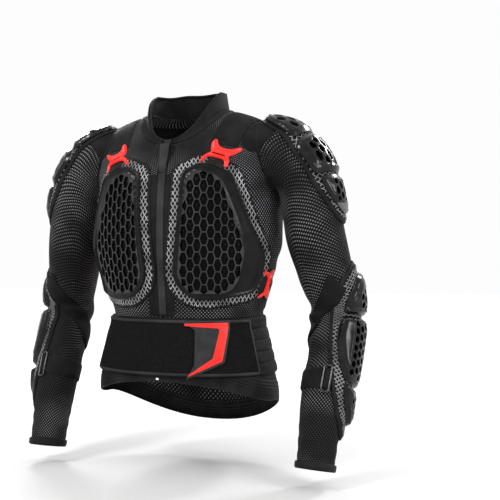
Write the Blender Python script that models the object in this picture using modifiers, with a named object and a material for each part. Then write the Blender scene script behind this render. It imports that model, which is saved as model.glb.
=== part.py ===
"""Motorcycle armour jacket: a stretch mesh jacket with chest, back, shoulder and elbow armour.

Metres, +Z up. The wearer faces -Y and the wearer's left arm is at +X. The origin is the middle of
the neck base, between the shoulders, where the jacket hangs on the body that wears it.
"""
from collections import namedtuple
from math import cos, pi, radians, sin

import bmesh
import bpy
from mathutils import Vector
from mathutils.bvhtree import BVHTree
from mathutils.geometry import delaunay_2d_cdt

# Cloth body
BODY_LENGTH = 0.601
CHEST_HALF_WIDTH = 0.190
CHEST_FRONT_DEPTH = 0.124
CHEST_BACK_DEPTH = 0.130
CLOTH = 0.002
NECK_HALF_WIDTH = 0.072
COLLAR_BACK_HEIGHT = 0.038
COLLAR_CLOTH = 0.003
HEM_BAND_THICKNESS = 0.0026

# Sleeves
ARM_DROP = 0.553
SLEEVE_RADIUS = 0.060
ELBOW_SHARE = 0.585
FOLD_DEPTH = 0.0025
CUFF_HEIGHT = 0.012
CUFF_THICKNESS = 0.0035

# Kidney belt
BELT_TOP = 0.6406 * BODY_LENGTH
BELT_HEIGHT = 0.1664 * BODY_LENGTH
BELT_THICKNESS = 0.003
BELT_EASE = 0.0020
BELT_CHANNELS = 4
CHANNEL_DEPTH = 0.0016
BELT_PANEL_THICKNESS = 0.0025
BELT_MARGIN = 0.002
BELT_FRONT_TURN = (-1.65, 1.27)
BADGE_START = 0.067
BADGE_WIDTH = 0.119
BADGE_THICKNESS = 0.002

# Zip placket
PLACKET_WIDTH = 0.021
PLACKET_THICKNESS = 0.002
PLACKET_TOP = 0.135
PLACKET_GAP = 0.004

# Chest armour
CHEST_PLATE_WIDTH = 0.158
CHEST_PLATE_HEIGHT = 0.238
CHEST_PLATE_THICKNESS = 0.006
CHEST_PLATE_TURN = radians(25)
PAD_BORDER = 0.012
PAD_THICKNESS = 0.004

# Back armour
BACK_PLATE_HALF_WIDTH = 0.125
BACK_PLATE_HEIGHT = 0.7188 * BODY_LENGTH
BACK_PLATE_THICKNESS = 0.007
TAIL_PLATE_WIDTH = 0.108
TAIL_PLATE_HEIGHT = 0.068
TAIL_PLATE_THICKNESS = 0.005
TAIL_GAP = 0.008

# Honeycomb cut through the plates
CELL_COLUMN = 0.0185
CELL_ROW = 0.0350
CELL_RIB = 0.0030
BACK_CELL_COLUMN = 0.0245
BACK_CELL_ROW = 0.0370

# Limb armour
CAP_THICKNESS = 0.008
LIMB_PAD_THICKNESS = 0.005

# Straps and buckles
STRAP_WIDTH = 0.048
STRAP_THICKNESS = 0.002
SIDE_STRAP_WIDTH = 0.042
BUCKLE_WIDTH = 0.047
BUCKLE_HEIGHT = 0.050
BUCKLE_THICKNESS = 0.003
FOREARM_STRAP_WIDTH = 0.032
ELBOW_STRAP_WIDTH = 0.042
LOOP_BAR = 0.005

# Air kept between pieces, and the spread of the points that the shells are made from
CLEARANCE = 0.0005
LAY_GAP = 0.0008
COLUMNS = 32
ARM_COLUMNS = 16
FACET = 0.036

# How far off a ray towards the body or a sleeve starts, and how deep a piece may sink
BODY_REACH = 0.5
SLEEVE_REACH = 0.3
DEEPEST = 0.004

SIDES = (("left", 1), ("right", -1))

TorsoRow = namedtuple("TorsoRow", "front side back width front_depth back_depth")

# Heights below the neck as shares of BODY_LENGTH, widths and depths as shares of the chest's.
TORSO = (
    TorsoRow(0.822, 0.889, 1.000, 0.900, 0.952, 0.938),
    TorsoRow(0.769, 0.835, 0.947, 0.890, 0.940, 0.925),
    TorsoRow(0.700, 0.715, 0.765, 0.795, 0.895, 0.850),
    TorsoRow(0.641, 0.641, 0.641, 0.745, 0.872, 0.812),
    TorsoRow(0.532, 0.532, 0.532, 0.840, 0.935, 0.875),
    TorsoRow(0.416, 0.416, 0.416, 0.940, 0.985, 0.955),
    TorsoRow(0.305, 0.290, 0.290, 0.945, 0.970, 1.000),
    TorsoRow(0.218, 0.175, 0.180, 0.935, 0.915, 0.985),
    TorsoRow(0.177, 0.100, 0.106, 0.880, 0.855, 0.910),
    TorsoRow(0.153, 0.052, 0.056, 0.775, 0.805, 0.815),
    TorsoRow(0.137, 0.023, 0.022, 0.590, 0.765, 0.725),
    TorsoRow(0.123, 0.007, 0.000, 0.411, 0.726, 0.646),
)
HEM_ROW = 0
BAND_ROW = 1
NECK_ROW = len(TORSO) - 1

ArmRow = namedtuple("ArmRow", "out back drop radius")

# The sleeve's axis from inside the shoulder to the cuff, as shares of ARM_DROP, and its radius as
# a share of SLEEVE_RADIUS.
ARM = (
    ArmRow(0.000, 0.000, 0.000, 0.850),
    ArmRow(0.058, 0.000, 0.004, 0.930),
    ArmRow(0.125, -0.004, 0.022, 0.980),
    ArmRow(0.177, -0.007, 0.065, 0.930),
    ArmRow(0.210, -0.011, 0.128, 0.870),
    ArmRow(0.235, -0.007, 0.273, 0.885),
    ArmRow(0.262, 0.020, 0.400, 0.820),
    ArmRow(0.284, 0.047, 0.526, 0.700),
    ArmRow(0.284, 0.007, 0.644, 0.675),
    ArmRow(0.277, -0.056, 0.770, 0.645),
    ArmRow(0.273, -0.098, 0.888, 0.590),
    ArmRow(0.269, -0.132, 1.000, 0.530),
)
SHOULDER_OUT = 0.62
SHOULDER_BACK = 0.004
SHOULDER_DROP = 0.140

# Outlines as shares of a piece's own width and height, from its lower left corner.
CHEST_PLATE = (
    (0.316, 1.000), (0.094, 0.933), (0.074, 0.773), (0.000, 0.196), (0.048, 0.098), (0.208, 0.010),
    (0.436, 0.000), (0.866, 0.054), (0.946, 0.133), (1.000, 0.329), (0.853, 0.534), (0.704, 0.817),
    (0.638, 0.924),
)
CHEST_FIELD = (
    (0.168, 0.916), (0.276, 0.938), (0.489, 0.880), (0.570, 0.773), (0.678, 0.569), (0.759, 0.356),
    (0.700, 0.150), (0.625, 0.078), (0.489, 0.051), (0.182, 0.060), (0.060, 0.178), (0.100, 0.551),
)
CHEST_PLATE_LEFT = -0.171
CHEST_PLATE_BOTTOM = 0.584

BackRow = namedtuple("BackRow", "down half_width")

# Half outlines down the back: share of the plate's height, share of its half width.
BACK_PLATE = (
    BackRow(0.000, 0.520), BackRow(0.055, 0.780), BackRow(0.110, 1.000), BackRow(0.240, 0.960),
    BackRow(0.420, 0.820), BackRow(0.570, 0.690), BackRow(0.630, 0.620), BackRow(0.830, 0.560),
    BackRow(1.000, 0.470),
)
BACK_FIELD = (
    BackRow(0.020, 0.420), BackRow(0.155, 0.600), BackRow(0.260, 0.540), BackRow(0.400, 0.350),
    BackRow(0.470, 0.350), BackRow(0.600, 0.540), BackRow(0.800, 0.480), BackRow(0.985, 0.400),
)
BACK_PAD = (
    BackRow(-0.035, 0.560), BackRow(0.030, 0.960), BackRow(0.105, 1.180), BackRow(0.240, 1.120),
    BackRow(0.440, 0.940), BackRow(0.590, 0.800), BackRow(0.660, 0.780), BackRow(0.780, 0.740),
    BackRow(0.900, 0.600), BackRow(1.150, 0.590), BackRow(1.220, 0.500), BackRow(1.250, 0.380),
)
BACK_SLOTS = (BackRow(0.190, 0.800), BackRow(0.290, 0.755), BackRow(0.390, 0.695))
SLOT_LENGTH = 0.034
SLOT_WIDTH = 0.010
BACK_PLATE_TOP = 0.0666 * BODY_LENGTH

# Limb armour outlines: share of the sleeve's length, degrees round it from the outer side.
SHOULDER_PAD = (
    (0.044, -28), (0.044, 32), (0.090, 54), (0.150, 78), (0.220, 78), (0.290, 50), (0.335, 22),
    (0.335, -10), (0.290, -38), (0.220, -66), (0.150, -68), (0.090, -46),
)
SHOULDER_CAPS = (
    ((0.050, -22), (0.050, 26), (0.090, 42), (0.130, 46), (0.130, -36), (0.090, -34)),
    ((0.138, -40), (0.138, 52), (0.155, 66), (0.211, 64), (0.211, -50), (0.155, -54)),
    ((0.219, -42), (0.219, 56), (0.262, 42), (0.308, 20), (0.308, -8), (0.262, -30)),
)
ELBOW_PAD = (
    (0.450, 5), (0.450, 45), (0.480, 85), (0.530, 108), (0.620, 112), (0.720, 100), (0.800, 85),
    (0.870, 65), (0.915, 40), (0.915, 10), (0.870, -15), (0.800, -38), (0.720, -55),
    (0.620, -62), (0.530, -58), (0.480, -35),
)
ELBOW_CAPS = (
    ((0.485, 2), (0.485, 48), (0.530, 80), (0.584, 88), (0.584, -38), (0.530, -30)),
    ((0.593, -45), (0.593, 95), (0.660, 92), (0.735, 80), (0.771, 60), (0.771, -10), (0.735, -30),
     (0.660, -42)),
    ((0.780, -8), (0.780, 58), (0.830, 50), (0.878, 36), (0.878, 14), (0.830, 0)),
)

# One buckle, two crescents back to back, as shares of its width and height from its middle.
BUCKLE = (
    (-0.50, 0.50), (-0.28, 0.30), (0.00, 0.22), (0.28, 0.30), (0.50, 0.50), (0.34, 0.08),
    (0.34, -0.08), (0.50, -0.50), (0.28, -0.34), (0.00, -0.26), (-0.28, -0.34), (-0.50, -0.50),
    (-0.34, -0.08), (-0.34, 0.08),
)
BUCKLE_SLOT = ((-0.22, -0.17), (0.22, -0.17), (0.22, -0.07), (-0.22, -0.07))

# Badge outline, as shares of its width and of the belt's height down from the belt's top.
BADGE = ((0.00, 0.05), (1.00, 0.03), (0.82, 0.75), (0.09, 1.04))

# Strap middles and outlines over the shoulder: share of the chest's half width, turn from the top
# in radians.
SHOULDER_STRAP = ((0.547, -1.25), (0.589, -0.60), (0.637, 0.00), (0.653, 0.36), (0.658, 0.70))
SHOULDER_WING = (
    (0.700, -1.20), (0.790, -1.33), (0.960, -0.85), (0.990, -0.32), (0.990, 0.24), (0.935, 0.63),
    (0.815, 0.66), (0.800, 0.36), (0.795, 0.00), (0.745, -0.60),
)
FRONT_BUCKLE = (0.537, -1.43)
REAR_BUCKLE = (0.658, 0.85)
CHEST_TAB = (0.316, 0.183)
TAB_WIDTH = 0.030
TAB_HEIGHT = 0.024

# Side straps: turn round the waist from the front in radians, share of the length down.
SIDE_STRAP = ((1.58, 0.545), (1.90, 0.590), (2.42, 0.620))
SIDE_SLIDER = (2.18, 0.608)
SIDE_BUCKLE = (1.50, 0.541)
SIDE_TAB = (1.405, 0.541)
SLIDER_WIDTH = 0.026

# Sleeve straps: share of the sleeve's length, degrees round it.
ELBOW_STRAP = ((0.475, -48), (0.545, -100), (0.615, -150), (0.655, -200), (0.665, -240))
FOREARM_STRAP = ((0.778, -50), (0.778, -110), (0.778, -180), (0.778, -264))
FOREARM_LOOP = (0.778, -62)
LOOP_WIDTH = 0.014

# Colour, roughness and metallic value of each finish
MATERIALS = {
    "mesh": ((0.020, 0.020, 0.021), 0.80, 0.0),
    "smooth_fabric": ((0.012, 0.012, 0.013), 0.70, 0.0),
    "pad_net": ((0.130, 0.130, 0.135), 0.75, 0.0),
    "armour": ((0.014, 0.014, 0.015), 0.38, 0.0),
    "webbing": ((0.016, 0.014, 0.015), 0.80, 0.0),
    "red_plastic": ((0.760, 0.025, 0.020), 0.40, 0.0),
    "badge": ((0.060, 0.060, 0.065), 0.50, 0.0),
}


def start_scene():
    """Empty the scene and make the collections for the parts and for the cutters."""
    for old in list(bpy.data.objects):
        bpy.data.objects.remove(old)
    parts = bpy.data.collections.new("armour_jacket")
    cutters = bpy.data.collections.new("cutters")
    for group in (parts, cutters):
        bpy.context.scene.collection.children.link(group)
    return parts, cutters


def finish_of(slot):
    """The Principled material of one slot, made once."""
    material = bpy.data.materials.get(slot)
    if material is None:
        colour, roughness, metallic = MATERIALS[slot]
        material = bpy.data.materials.new(slot)
        material.use_nodes = True
        shader = material.node_tree.nodes["Principled BSDF"]
        shader.inputs["Base Color"].default_value = (*colour, 1)
        shader.inputs["Roughness"].default_value = roughness
        shader.inputs["Metallic"].default_value = metallic
    return material


def add_object(name, points, faces, slot, group):
    """A mesh object with its faces wound outward where they close."""
    mesh = bpy.data.meshes.new(name)
    mesh.from_pydata([tuple(point) for point in points], [], faces)
    mesh.validate()
    thing = bpy.data.objects.new(name, mesh)
    if slot:
        mesh.materials.append(finish_of(slot))
    else:
        thing.hide_render = True
        thing.display_type = "WIRE"
    group.objects.link(thing)
    return thing


def blend(rows, place):
    """The row at a place between rows, on a smooth curve through them."""
    place = min(max(place, 0.0), len(rows) - 1.0)
    first = min(int(place), len(rows) - 2)
    part = place - first
    around = [rows[min(max(first + step, 0), len(rows) - 1)] for step in (-1, 0, 1, 2)]
    weights = (
        -0.5 * part + part**2 - 0.5 * part**3,
        1 - 2.5 * part**2 + 1.5 * part**3,
        0.5 * part + 2 * part**2 - 1.5 * part**3,
        -0.5 * part**2 + 0.5 * part**3,
    )
    return [sum(w * row[k] for w, row in zip(weights, around)) for k in range(len(rows[0]))]


def rounded(value):
    """A cosine or sine drawn out towards a slightly square section."""
    return abs(value) ** 0.92 * (1 if value > 0 else -1)


def torso_point(place, angle):
    """A point of the body's outer surface: a row place, and an angle from the front to +X."""
    front, side, back, width, front_depth, back_depth = blend(TORSO, place)
    across, forward = sin(angle), cos(angle)
    middle = front if forward > 0 else back
    depth = front_depth * CHEST_FRONT_DEPTH if forward > 0 else back_depth * CHEST_BACK_DEPTH
    half = width * CHEST_HALF_WIDTH
    if place > NECK_ROW - 1:
        share = place - NECK_ROW + 1
        half += share * (NECK_HALF_WIDTH - TORSO[NECK_ROW].width * CHEST_HALF_WIDTH)
    drop = side + (middle - side) * abs(forward) ** 1.6
    return Vector((half * rounded(across), -depth * rounded(forward), -drop * BODY_LENGTH))


def surface_normal(surface, place, angle):
    """Outward normal of a surface given by a place along it and an angle round it."""
    step = 0.02
    along = surface(place + step, angle) - surface(place - step, angle)
    around = surface(place, angle + step) - surface(place, angle - step)
    return around.cross(along).normalized()


def torso_at_drop(drop, angle):
    """The row place where the body's surface passes a drop below the neck, at one angle."""
    low, high = 0.0, float(NECK_ROW)
    for _ in range(40):
        middle = (low + high) / 2
        if -torso_point(middle, angle).z > drop:
            low = middle
        else:
            high = middle
    return (low + high) / 2


def shoulder_point():
    """Where the sleeve's axis starts, inside the shoulder."""
    return Vector((SHOULDER_OUT * CHEST_HALF_WIDTH, SHOULDER_BACK, -SHOULDER_DROP * BODY_LENGTH))


def arm_axis(place):
    """The left sleeve's axis point and radius at a row place."""
    out, back, drop, radius = blend(ARM, place)
    return shoulder_point() + Vector((out, back, -drop)) * ARM_DROP, radius * SLEEVE_RADIUS


def arm_lengths():
    """Length along the axis up to each of many even places."""
    steps = 20 * (len(ARM) - 1)
    points = [arm_axis(k / 20)[0] for k in range(steps + 1)]
    lengths = [0.0]
    for first, second in zip(points, points[1:]):
        lengths.append(lengths[-1] + (second - first).length)
    return lengths


ARM_LENGTHS = arm_lengths()
ARM_AXIS_LENGTH = ARM_LENGTHS[-1]


def arm_place(share):
    """The row place at a share of the axis length."""
    wanted = share * ARM_AXIS_LENGTH
    for step, (low, high) in enumerate(zip(ARM_LENGTHS, ARM_LENGTHS[1:])):
        if high >= wanted:
            return (step + (wanted - low) / (high - low)) / 20
    return len(ARM) - 1.0


def arm_frame(place):
    """Axis point, radius, outer direction and backward direction of the left sleeve."""
    centre, radius = arm_axis(place)
    ahead = arm_axis(min(place + 0.05, len(ARM) - 1))[0]
    behind = arm_axis(max(place - 0.05, 0))[0]
    tangent = (ahead - behind).normalized()
    back = Vector((0, 1, 0))
    back = (back - tangent * back.dot(tangent)).normalized()
    return centre, radius, tangent.cross(back), back


def arm_point(share, angle, offset=0.0):
    """A point of the left sleeve's outer surface: share of its length, angle from the outer side.

    The cloth gathers in shallow folds across the inner side of the bent elbow.
    """
    centre, radius, outer, back = arm_frame(arm_place(share))
    near = max(0.0, 1 - abs(share - ELBOW_SHARE) / 0.12)
    inner = max(0.0, -sin(angle)) * 0.6 + max(0.0, -cos(angle))
    fold = FOLD_DEPTH * near * inner * cos(2 * pi * (share - ELBOW_SHARE) / 0.075)
    return centre + (outer * cos(angle) + back * sin(angle)) * (radius + offset + fold)


def mirrored(point, side):
    """A point of the left side, or its image on the right."""
    return Vector((point.x * side, point.y, point.z))


def grid_faces(rows, columns, closed, flip):
    """Quads between successive rows of points."""
    faces = []
    for row in range(rows - 1):
        for column in range(columns if closed else columns - 1):
            after = (column + 1) % columns
            quad = (
                row * columns + column,
                row * columns + after,
                (row + 1) * columns + after,
                (row + 1) * columns + column,
            )
            faces.append(quad[::-1] if flip else quad)
    return faces


def thicken(thing, thickness, offset):
    """Give an open surface its wall, outward for an offset of 1 and inward for -1."""
    wall = thing.modifiers.new("wall", "SOLIDIFY")
    wall.thickness = thickness
    wall.offset = offset
    wall.use_even_offset = False
    return thing


def cut(thing, cutter):
    """Take a cutter's volume out of a piece."""
    boolean = thing.modifiers.new("cut_" + cutter.name, "BOOLEAN")
    boolean.object = cutter
    boolean.operation = "DIFFERENCE"
    boolean.solver = "EXACT"


def even(start, stop, count):
    """Evenly spaced values, both ends included."""
    return [start + (stop - start) * k / (count - 1) for k in range(count)]


def ring_angles(count):
    """Even turns round a full circle."""
    return [2 * pi * k / count for k in range(count)]


def facing_out(points, faces, centre_of):
    """Turn every face over when the surface was wound towards its own middle."""
    total = 0.0
    for face in faces:
        corner = [points[index] for index in face]
        normal = (corner[1] - corner[0]).cross(corner[2] - corner[0])
        middle = sum(corner, Vector()) / len(corner)
        total += normal.dot(middle - centre_of(middle))
    return faces if total > 0 else [face[::-1] for face in faces]


def closed_loft(name, sections, slot, group, ends_closed):
    """A closed body through rings of points, each ring a closed section."""
    count = len(sections[0])
    points = [point for section in sections for point in section]
    faces = grid_faces(len(sections), count, True, False)
    if ends_closed:
        faces.append(tuple(range(count))[::-1])
        faces.append(tuple(range(len(points) - count, len(points))))
    else:
        last = (len(sections) - 1) * count
        for column in range(count):
            after = (column + 1) % count
            faces.append((last + column, last + after, after, column))
    thing = add_object(name, points, faces, slot, group)
    shape = bmesh.new()
    shape.from_mesh(thing.data)
    bmesh.ops.recalc_face_normals(shape, faces=shape.faces)
    shape.to_mesh(thing.data)
    shape.free()
    return thing


def tree_of(thing):
    """Search tree of a piece as it is finally shaped."""
    bpy.context.view_layer.update()
    graph = bpy.context.evaluated_depsgraph_get()
    final = thing.evaluated_get(graph)
    mesh = final.to_mesh()
    tree = BVHTree.FromPolygons(
        [thing.matrix_world @ vertex.co for vertex in mesh.vertices],
        [tuple(polygon.vertices) for polygon in mesh.polygons],
    )
    final.to_mesh_clear()
    return tree


def skin_tree(surfaces):
    """Search tree of finely divided guide surfaces: (surface, places, angles) each."""
    points, faces = [], []
    for surface, places, angles in surfaces:
        first = len(points)
        patch = [surface(place, angle) for place in places for angle in angles]
        quads = grid_faces(len(places), len(angles), True, False)
        points += patch
        faces += [tuple(first + index for index in quad) for quad in quads]
    return BVHTree.FromPolygons(points, faces)


def inside(point, outline):
    """Whether a flat point lies inside a closed outline."""
    found = False
    for (ax, ay), (bx, by) in zip(outline, outline[1:] + outline[:1]):
        if (ay > point[1]) != (by > point[1]):
            if point[0] < ax + (point[1] - ay) / (by - ay) * (bx - ax):
                found = not found
    return found


def edge_distance(point, outline):
    """Shortest distance from a flat point to an outline."""
    best = 1e9
    here = Vector(point)
    for first, second in zip(outline, outline[1:] + outline[:1]):
        start, run = Vector(first), Vector(second) - Vector(first)
        share = min(max((here - start).dot(run) / run.length_squared, 0), 1)
        best = min(best, (here - start - run * share).length)
    return best


def grown(outline, distance):
    """An outline moved outward by a distance."""
    turn = sum(a[0] * b[1] - b[0] * a[1] for a, b in zip(outline, outline[1:] + outline[:1]))
    sign = 1 if turn > 0 else -1
    result = []
    for before, here, after in zip(outline[-1:] + outline[:-1], outline, outline[1:] + outline[:1]):
        first = (Vector(here) - Vector(before)).normalized()
        second = (Vector(after) - Vector(here)).normalized()
        normal = Vector((first.y + second.y, -first.x - second.x)) * sign
        reach = max(0.5, normal.length / 2)
        result.append(tuple(Vector(here) + normal.normalized() * distance / reach))
    return result


def divided(outline, longest):
    """An outline whose long edges are split evenly."""
    result = []
    for first, second in zip(outline, outline[1:] + outline[:1]):
        start, run = Vector(first), Vector(second) - Vector(first)
        count = max(1, round(run.length / longest))
        result += [tuple(start + run * k / count) for k in range(count)]
    return result


def filled(outline, holes, spacing):
    """Flat points and triangles that fill an outline round its holes."""
    points = list(divided(outline, spacing))
    loops = [list(range(len(points)))]
    for hole in holes:
        loops.append(list(range(len(points), len(points) + len(hole))))
        points += hole
    low_x, high_x = min(p[0] for p in outline), max(p[0] for p in outline)
    low_y, high_y = min(p[1] for p in outline), max(p[1] for p in outline)
    for column in range(1, int((high_x - low_x) / spacing) + 1):
        for row in range(1, int((high_y - low_y) / spacing) + 1):
            spot = (low_x + column * spacing, low_y + (row + column % 2 / 2) * spacing)
            clear = inside(spot, outline) and edge_distance(spot, outline) > spacing / 2
            if clear and all(
                not inside(spot, hole) and edge_distance(spot, hole) > spacing / 3 for hole in holes
            ):
                points.append(spot)
    edges = [pair for loop in loops for pair in zip(loop, loop[1:] + loop[:1])]
    flat = [Vector(point) for point in points]
    corners, _, triangles, *_ = delaunay_2d_cdt(flat, edges, [], 0, 1e-7)
    kept = []
    for triangle in triangles:
        middle = sum((corners[index] for index in triangle), Vector((0, 0))) / 3
        if inside(middle, outline) and not any(inside(middle, hole) for hole in holes):
            kept.append(tuple(triangle))
    return corners, kept


def laid_patch(name, ray, skin, outline, holes, below, thickness, slot, group, spacing=FACET):
    """A piece cut to an outline and laid over what carries it, just clear of it.

    The outline is flat; ray turns a flat point into a line towards the body, and skin is the
    smooth surface that it meets. The piece then rises off the finished pieces below it.
    """
    flat, faces = filled(outline, holes, spacing)
    spots, normals = [], []
    for point in flat:
        origin, direction = ray(point.x, point.y)
        spot, normal, *_ = skin.ray_cast(origin, direction)
        if spot is None:
            spot, normal, *_ = skin.find_nearest(origin + direction * BODY_REACH * 0.7)
        if normal.dot(direction) > 0:
            normal = -normal
        spots.append(spot)
        normals.append((normal - direction * 0.4).normalized())
    reach = 0.05

    def height_over(spot, normal):
        hits = [tree.ray_cast(spot + normal * reach, -normal, 2 * reach)[3] for tree in below]
        found = [hit for hit in hits if hit is not None]
        return reach - min(found) if found else -reach

    heights = [max(height_over(s, n), -DEEPEST) + LAY_GAP for s, n in zip(spots, normals)]
    samples = [(a / 12, b / 12) for a in range(13) for b in range(13 - a)]
    for _ in range(12):
        lifted = [s + n * h for s, n, h in zip(spots, normals, heights)]
        rise = [0.0] * len(lifted)
        for face in faces:
            for a, b in samples:
                mix = (a, b, 1 - a - b)
                spot = sum((lifted[i] * w for i, w in zip(face, mix)), Vector())
                normal = sum((normals[i] * w for i, w in zip(face, mix)), Vector()).normalized()
                short = height_over(spot, normal) + LAY_GAP
                if short > 0.00002:
                    for i, weight in zip(face, mix):
                        if weight > 0.1:
                            rise[i] = max(rise[i], short)
        heights = [h + r for h, r in zip(heights, rise)]
        if max(rise) == 0:
            break
    points = [s + n * h for s, n, h in zip(spots, normals, heights)]
    outward = 0.0
    for face in faces:
        a, b, c = (points[index] for index in face)
        outward += (b - a).cross(c - a).dot(normals[face[0]])
    turned = faces if outward > 0 else [face[::-1] for face in faces]
    thing = add_object(name, points, turned, slot, group)
    return thicken(thing, thickness, 1)


def chest_ray(side):
    """Flat points of the chest plate, seen from the front and a quarter to its own side."""
    turn = CHEST_PLATE_TURN
    direction = Vector((-sin(turn) * side, cos(turn), 0))

    def ray(u, v):
        middle = Vector((cos(turn) * u * side, sin(turn) * u, v))
        return middle - direction * BODY_REACH, direction

    return ray


def back_ray(u, v):
    """Flat points of the back, seen straight from behind."""
    return Vector((u, BODY_REACH, v)), Vector((0, -1, 0))


def waist_ray(u, v):
    """Flat points wound round the waist: u from the front towards +X, v the height."""
    angle = u / CHEST_HALF_WIDTH
    outward = Vector((sin(angle), -cos(angle), 0))
    return outward * BODY_REACH + Vector((0, 0, v)), -outward


def shoulder_ray(side):
    """Flat points over the shoulder: u the distance out, v round from the top to the back."""
    def ray(u, v):
        angle = v / CHEST_FRONT_DEPTH
        outward = Vector((0, sin(angle), cos(angle)))
        middle = Vector((u * side, 0, -SHOULDER_DROP * BODY_LENGTH - CHEST_FRONT_DEPTH * 0.2))
        return middle + outward * BODY_REACH, -outward

    return ray


def sleeve_ray(side):
    """Flat points round the sleeve: u along it, v round it from the outer side to the back."""
    def ray(u, v):
        centre, _, outer, back = arm_frame(arm_place(u / ARM_AXIS_LENGTH))
        angle = v / SLEEVE_RADIUS
        outward = outer * cos(angle) + back * sin(angle)
        return mirrored(centre + outward * SLEEVE_REACH, side), mirrored(-outward, side)

    return ray


def sleeve_outline(shares):
    """Shares of the sleeve's length and degrees round it, as flat lengths."""
    return [(share * ARM_AXIS_LENGTH, radians(turn) * SLEEVE_RADIUS) for share, turn in shares]


def honeycomb(field, column, row, rib):
    """Upright six-sided cells that fit a field, in staggered columns."""
    low_x, high_x = min(p[0] for p in field), max(p[0] for p in field)
    low_y, high_y = min(p[1] for p in field), max(p[1] for p in field)
    middle_x, middle_y = (low_x + high_x) / 2, (low_y + high_y) / 2
    half_width, half_height = column * 2 / 3 - rib * 0.58, (row - rib) / 2
    shape = ((1, 0), (0.5, 1), (-0.5, 1), (-1, 0), (-0.5, -1), (0.5, -1))
    reach = int((high_x - low_x) / column) + 2
    rise = int((high_y - low_y) / row) + 2
    cells = []
    for i in range(-reach, reach + 1):
        for j in range(-rise, rise + 1):
            centre_x, centre_y = middle_x + i * column, middle_y + (j + i % 2 / 2) * row
            cell = [(centre_x + x * half_width, centre_y + y * half_height) for x, y in shape]
            if all(inside(corner, field) for corner in cell):
                cells.append(cell)
    return cells


def body_and_sleeves(parts, cutters):
    """The mesh body with its two armholes, and the two mesh sleeves that pass into them."""
    angles = ring_angles(COLUMNS)
    places = [BAND_ROW + 0.02, 2, 2.5, 3, 3.5, 4, 4.6, 5.3, 6, 6.7, 7.4, 8.1, 8.8, 9.5, 10.2,
              NECK_ROW - 0.02]
    points = [torso_point(place, angle) for place in places for angle in angles]
    faces = facing_out(points, grid_faces(len(places), COLUMNS, True, False), axis_point)
    body = add_object("mesh_body", points, faces, "mesh", parts)
    thicken(body, CLOTH, -1)

    core = []
    for place in even(HEM_ROW, NECK_ROW, 24):
        ring = []
        for angle in angles:
            normal = surface_normal(torso_point, min(max(place, 0.05), NECK_ROW - 0.05), angle)
            ring.append(torso_point(place, angle) - outward_of(normal, angle) * CLOTH)
        core.append(ring)
    core_cutter = closed_loft("torso_core_cutter", core, None, cutters, True)

    sleeves = {}
    shares = [0.0, 0.08, 0.14, 0.19, 0.25, 0.34, 0.44, 0.52, 0.56, 0.60, 0.65, 0.75, 0.88, 1.0]
    for name, side in SIDES:
        rings = [
            [mirrored(arm_point(share, angle), side) for angle in ring_angles(ARM_COLUMNS)]
            for share in shares
        ]
        count = len(rings)
        points = [point for ring in rings for point in ring]
        faces = grid_faces(count, ARM_COLUMNS, True, side < 0)
        sleeve = add_object(name + "_sleeve", points, faces, "mesh", parts)
        turn_faces_out(sleeve, rings)
        thicken(sleeve, CLOTH, -1)
        cut(sleeve, core_cutter)
        sleeves[name] = sleeve

        opening = [
            [mirrored(arm_point(share, angle, CLEARANCE), side) for angle in ring_angles(ARM_COLUMNS)]
            for share in shares[:6]
        ]
        armhole = closed_loft(name + "_armhole_cutter", opening, None, cutters, True)
        cut(body, armhole)
    return body, sleeves


def axis_point(middle):
    """The point of the body's upright axis level with a point."""
    return Vector((0, 0, middle.z))


def outward_of(normal, angle):
    """The same normal, turned to face away from the body's axis."""
    outward = Vector((sin(angle), -cos(angle), 0.6))
    return normal if normal.dot(outward) > 0 else -normal


def turn_faces_out(thing, rings):
    """Turn a tube's faces over if they point towards its axis."""
    middle = sum(rings[0] + rings[1], Vector()) / (2 * len(rings[0]))
    polygon = thing.data.polygons[0]
    if polygon.normal.dot(polygon.center - middle) < 0:
        thing.data.flip_normals()


def collar_piece(parts):
    """Stand collar, open at the front, on the body's neck edge."""
    gap = radians(9)
    angles = even(gap, 2 * pi - gap, 27)
    lean = 0.10
    rows = []
    for share in (0.0, 0.5, 1.0):
        row = []
        for angle in angles:
            base = torso_point(NECK_ROW, angle)
            forward = max(0.0, cos(angle))
            rise = COLLAR_BACK_HEIGHT * (1 - 0.55 * forward**1.5) * share
            inward = Vector((-base.x, -base.y, 0)).normalized() * rise * lean
            row.append(base + inward + Vector((0, 0, rise + CLEARANCE * 2)))
        rows.append(row)
    points = [point for row in rows for point in row]
    faces = facing_out(points, grid_faces(3, len(angles), False, False), axis_point)
    collar = add_object("stand_collar", points, faces, "smooth_fabric", parts)
    return thicken(collar, COLLAR_CLOTH, -1)


def band_ring(name, corners, surface, count, side, slot, parts):
    """A closed band: each corner of its section is a place on a surface and an offset off it."""
    sections = []
    for angle in ring_angles(count):
        sections.append([mirrored(surface(place, angle, offset), side) for place, offset in corners])
    return closed_loft(name, sections, slot, parts, False)


def torso_offset(place, angle, offset):
    """A point off the body's surface, level with it."""
    point = torso_point(place, angle)
    outward = Vector((sin(angle) * CHEST_FRONT_DEPTH, -cos(angle) * CHEST_HALF_WIDTH, 0))
    return point + outward.normalized() * offset


def belt_offset(drop, angle, offset):
    """A point off the body's surface at a drop below the neck."""
    return torso_offset(torso_at_drop(drop, angle), angle, offset)


def hem_piece(parts):
    """Ribbed elastic band that closes the hem, below the mesh."""
    thick = HEM_BAND_THICKNESS
    top = BAND_ROW - 0.02
    corners = ((HEM_ROW, -CLOTH), (HEM_ROW, thick - CLOTH), (top, thick - CLOTH), (top, -CLOTH))
    return band_ring("hem_band", corners, torso_offset, COLUMNS, 1, "smooth_fabric", parts)


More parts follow.
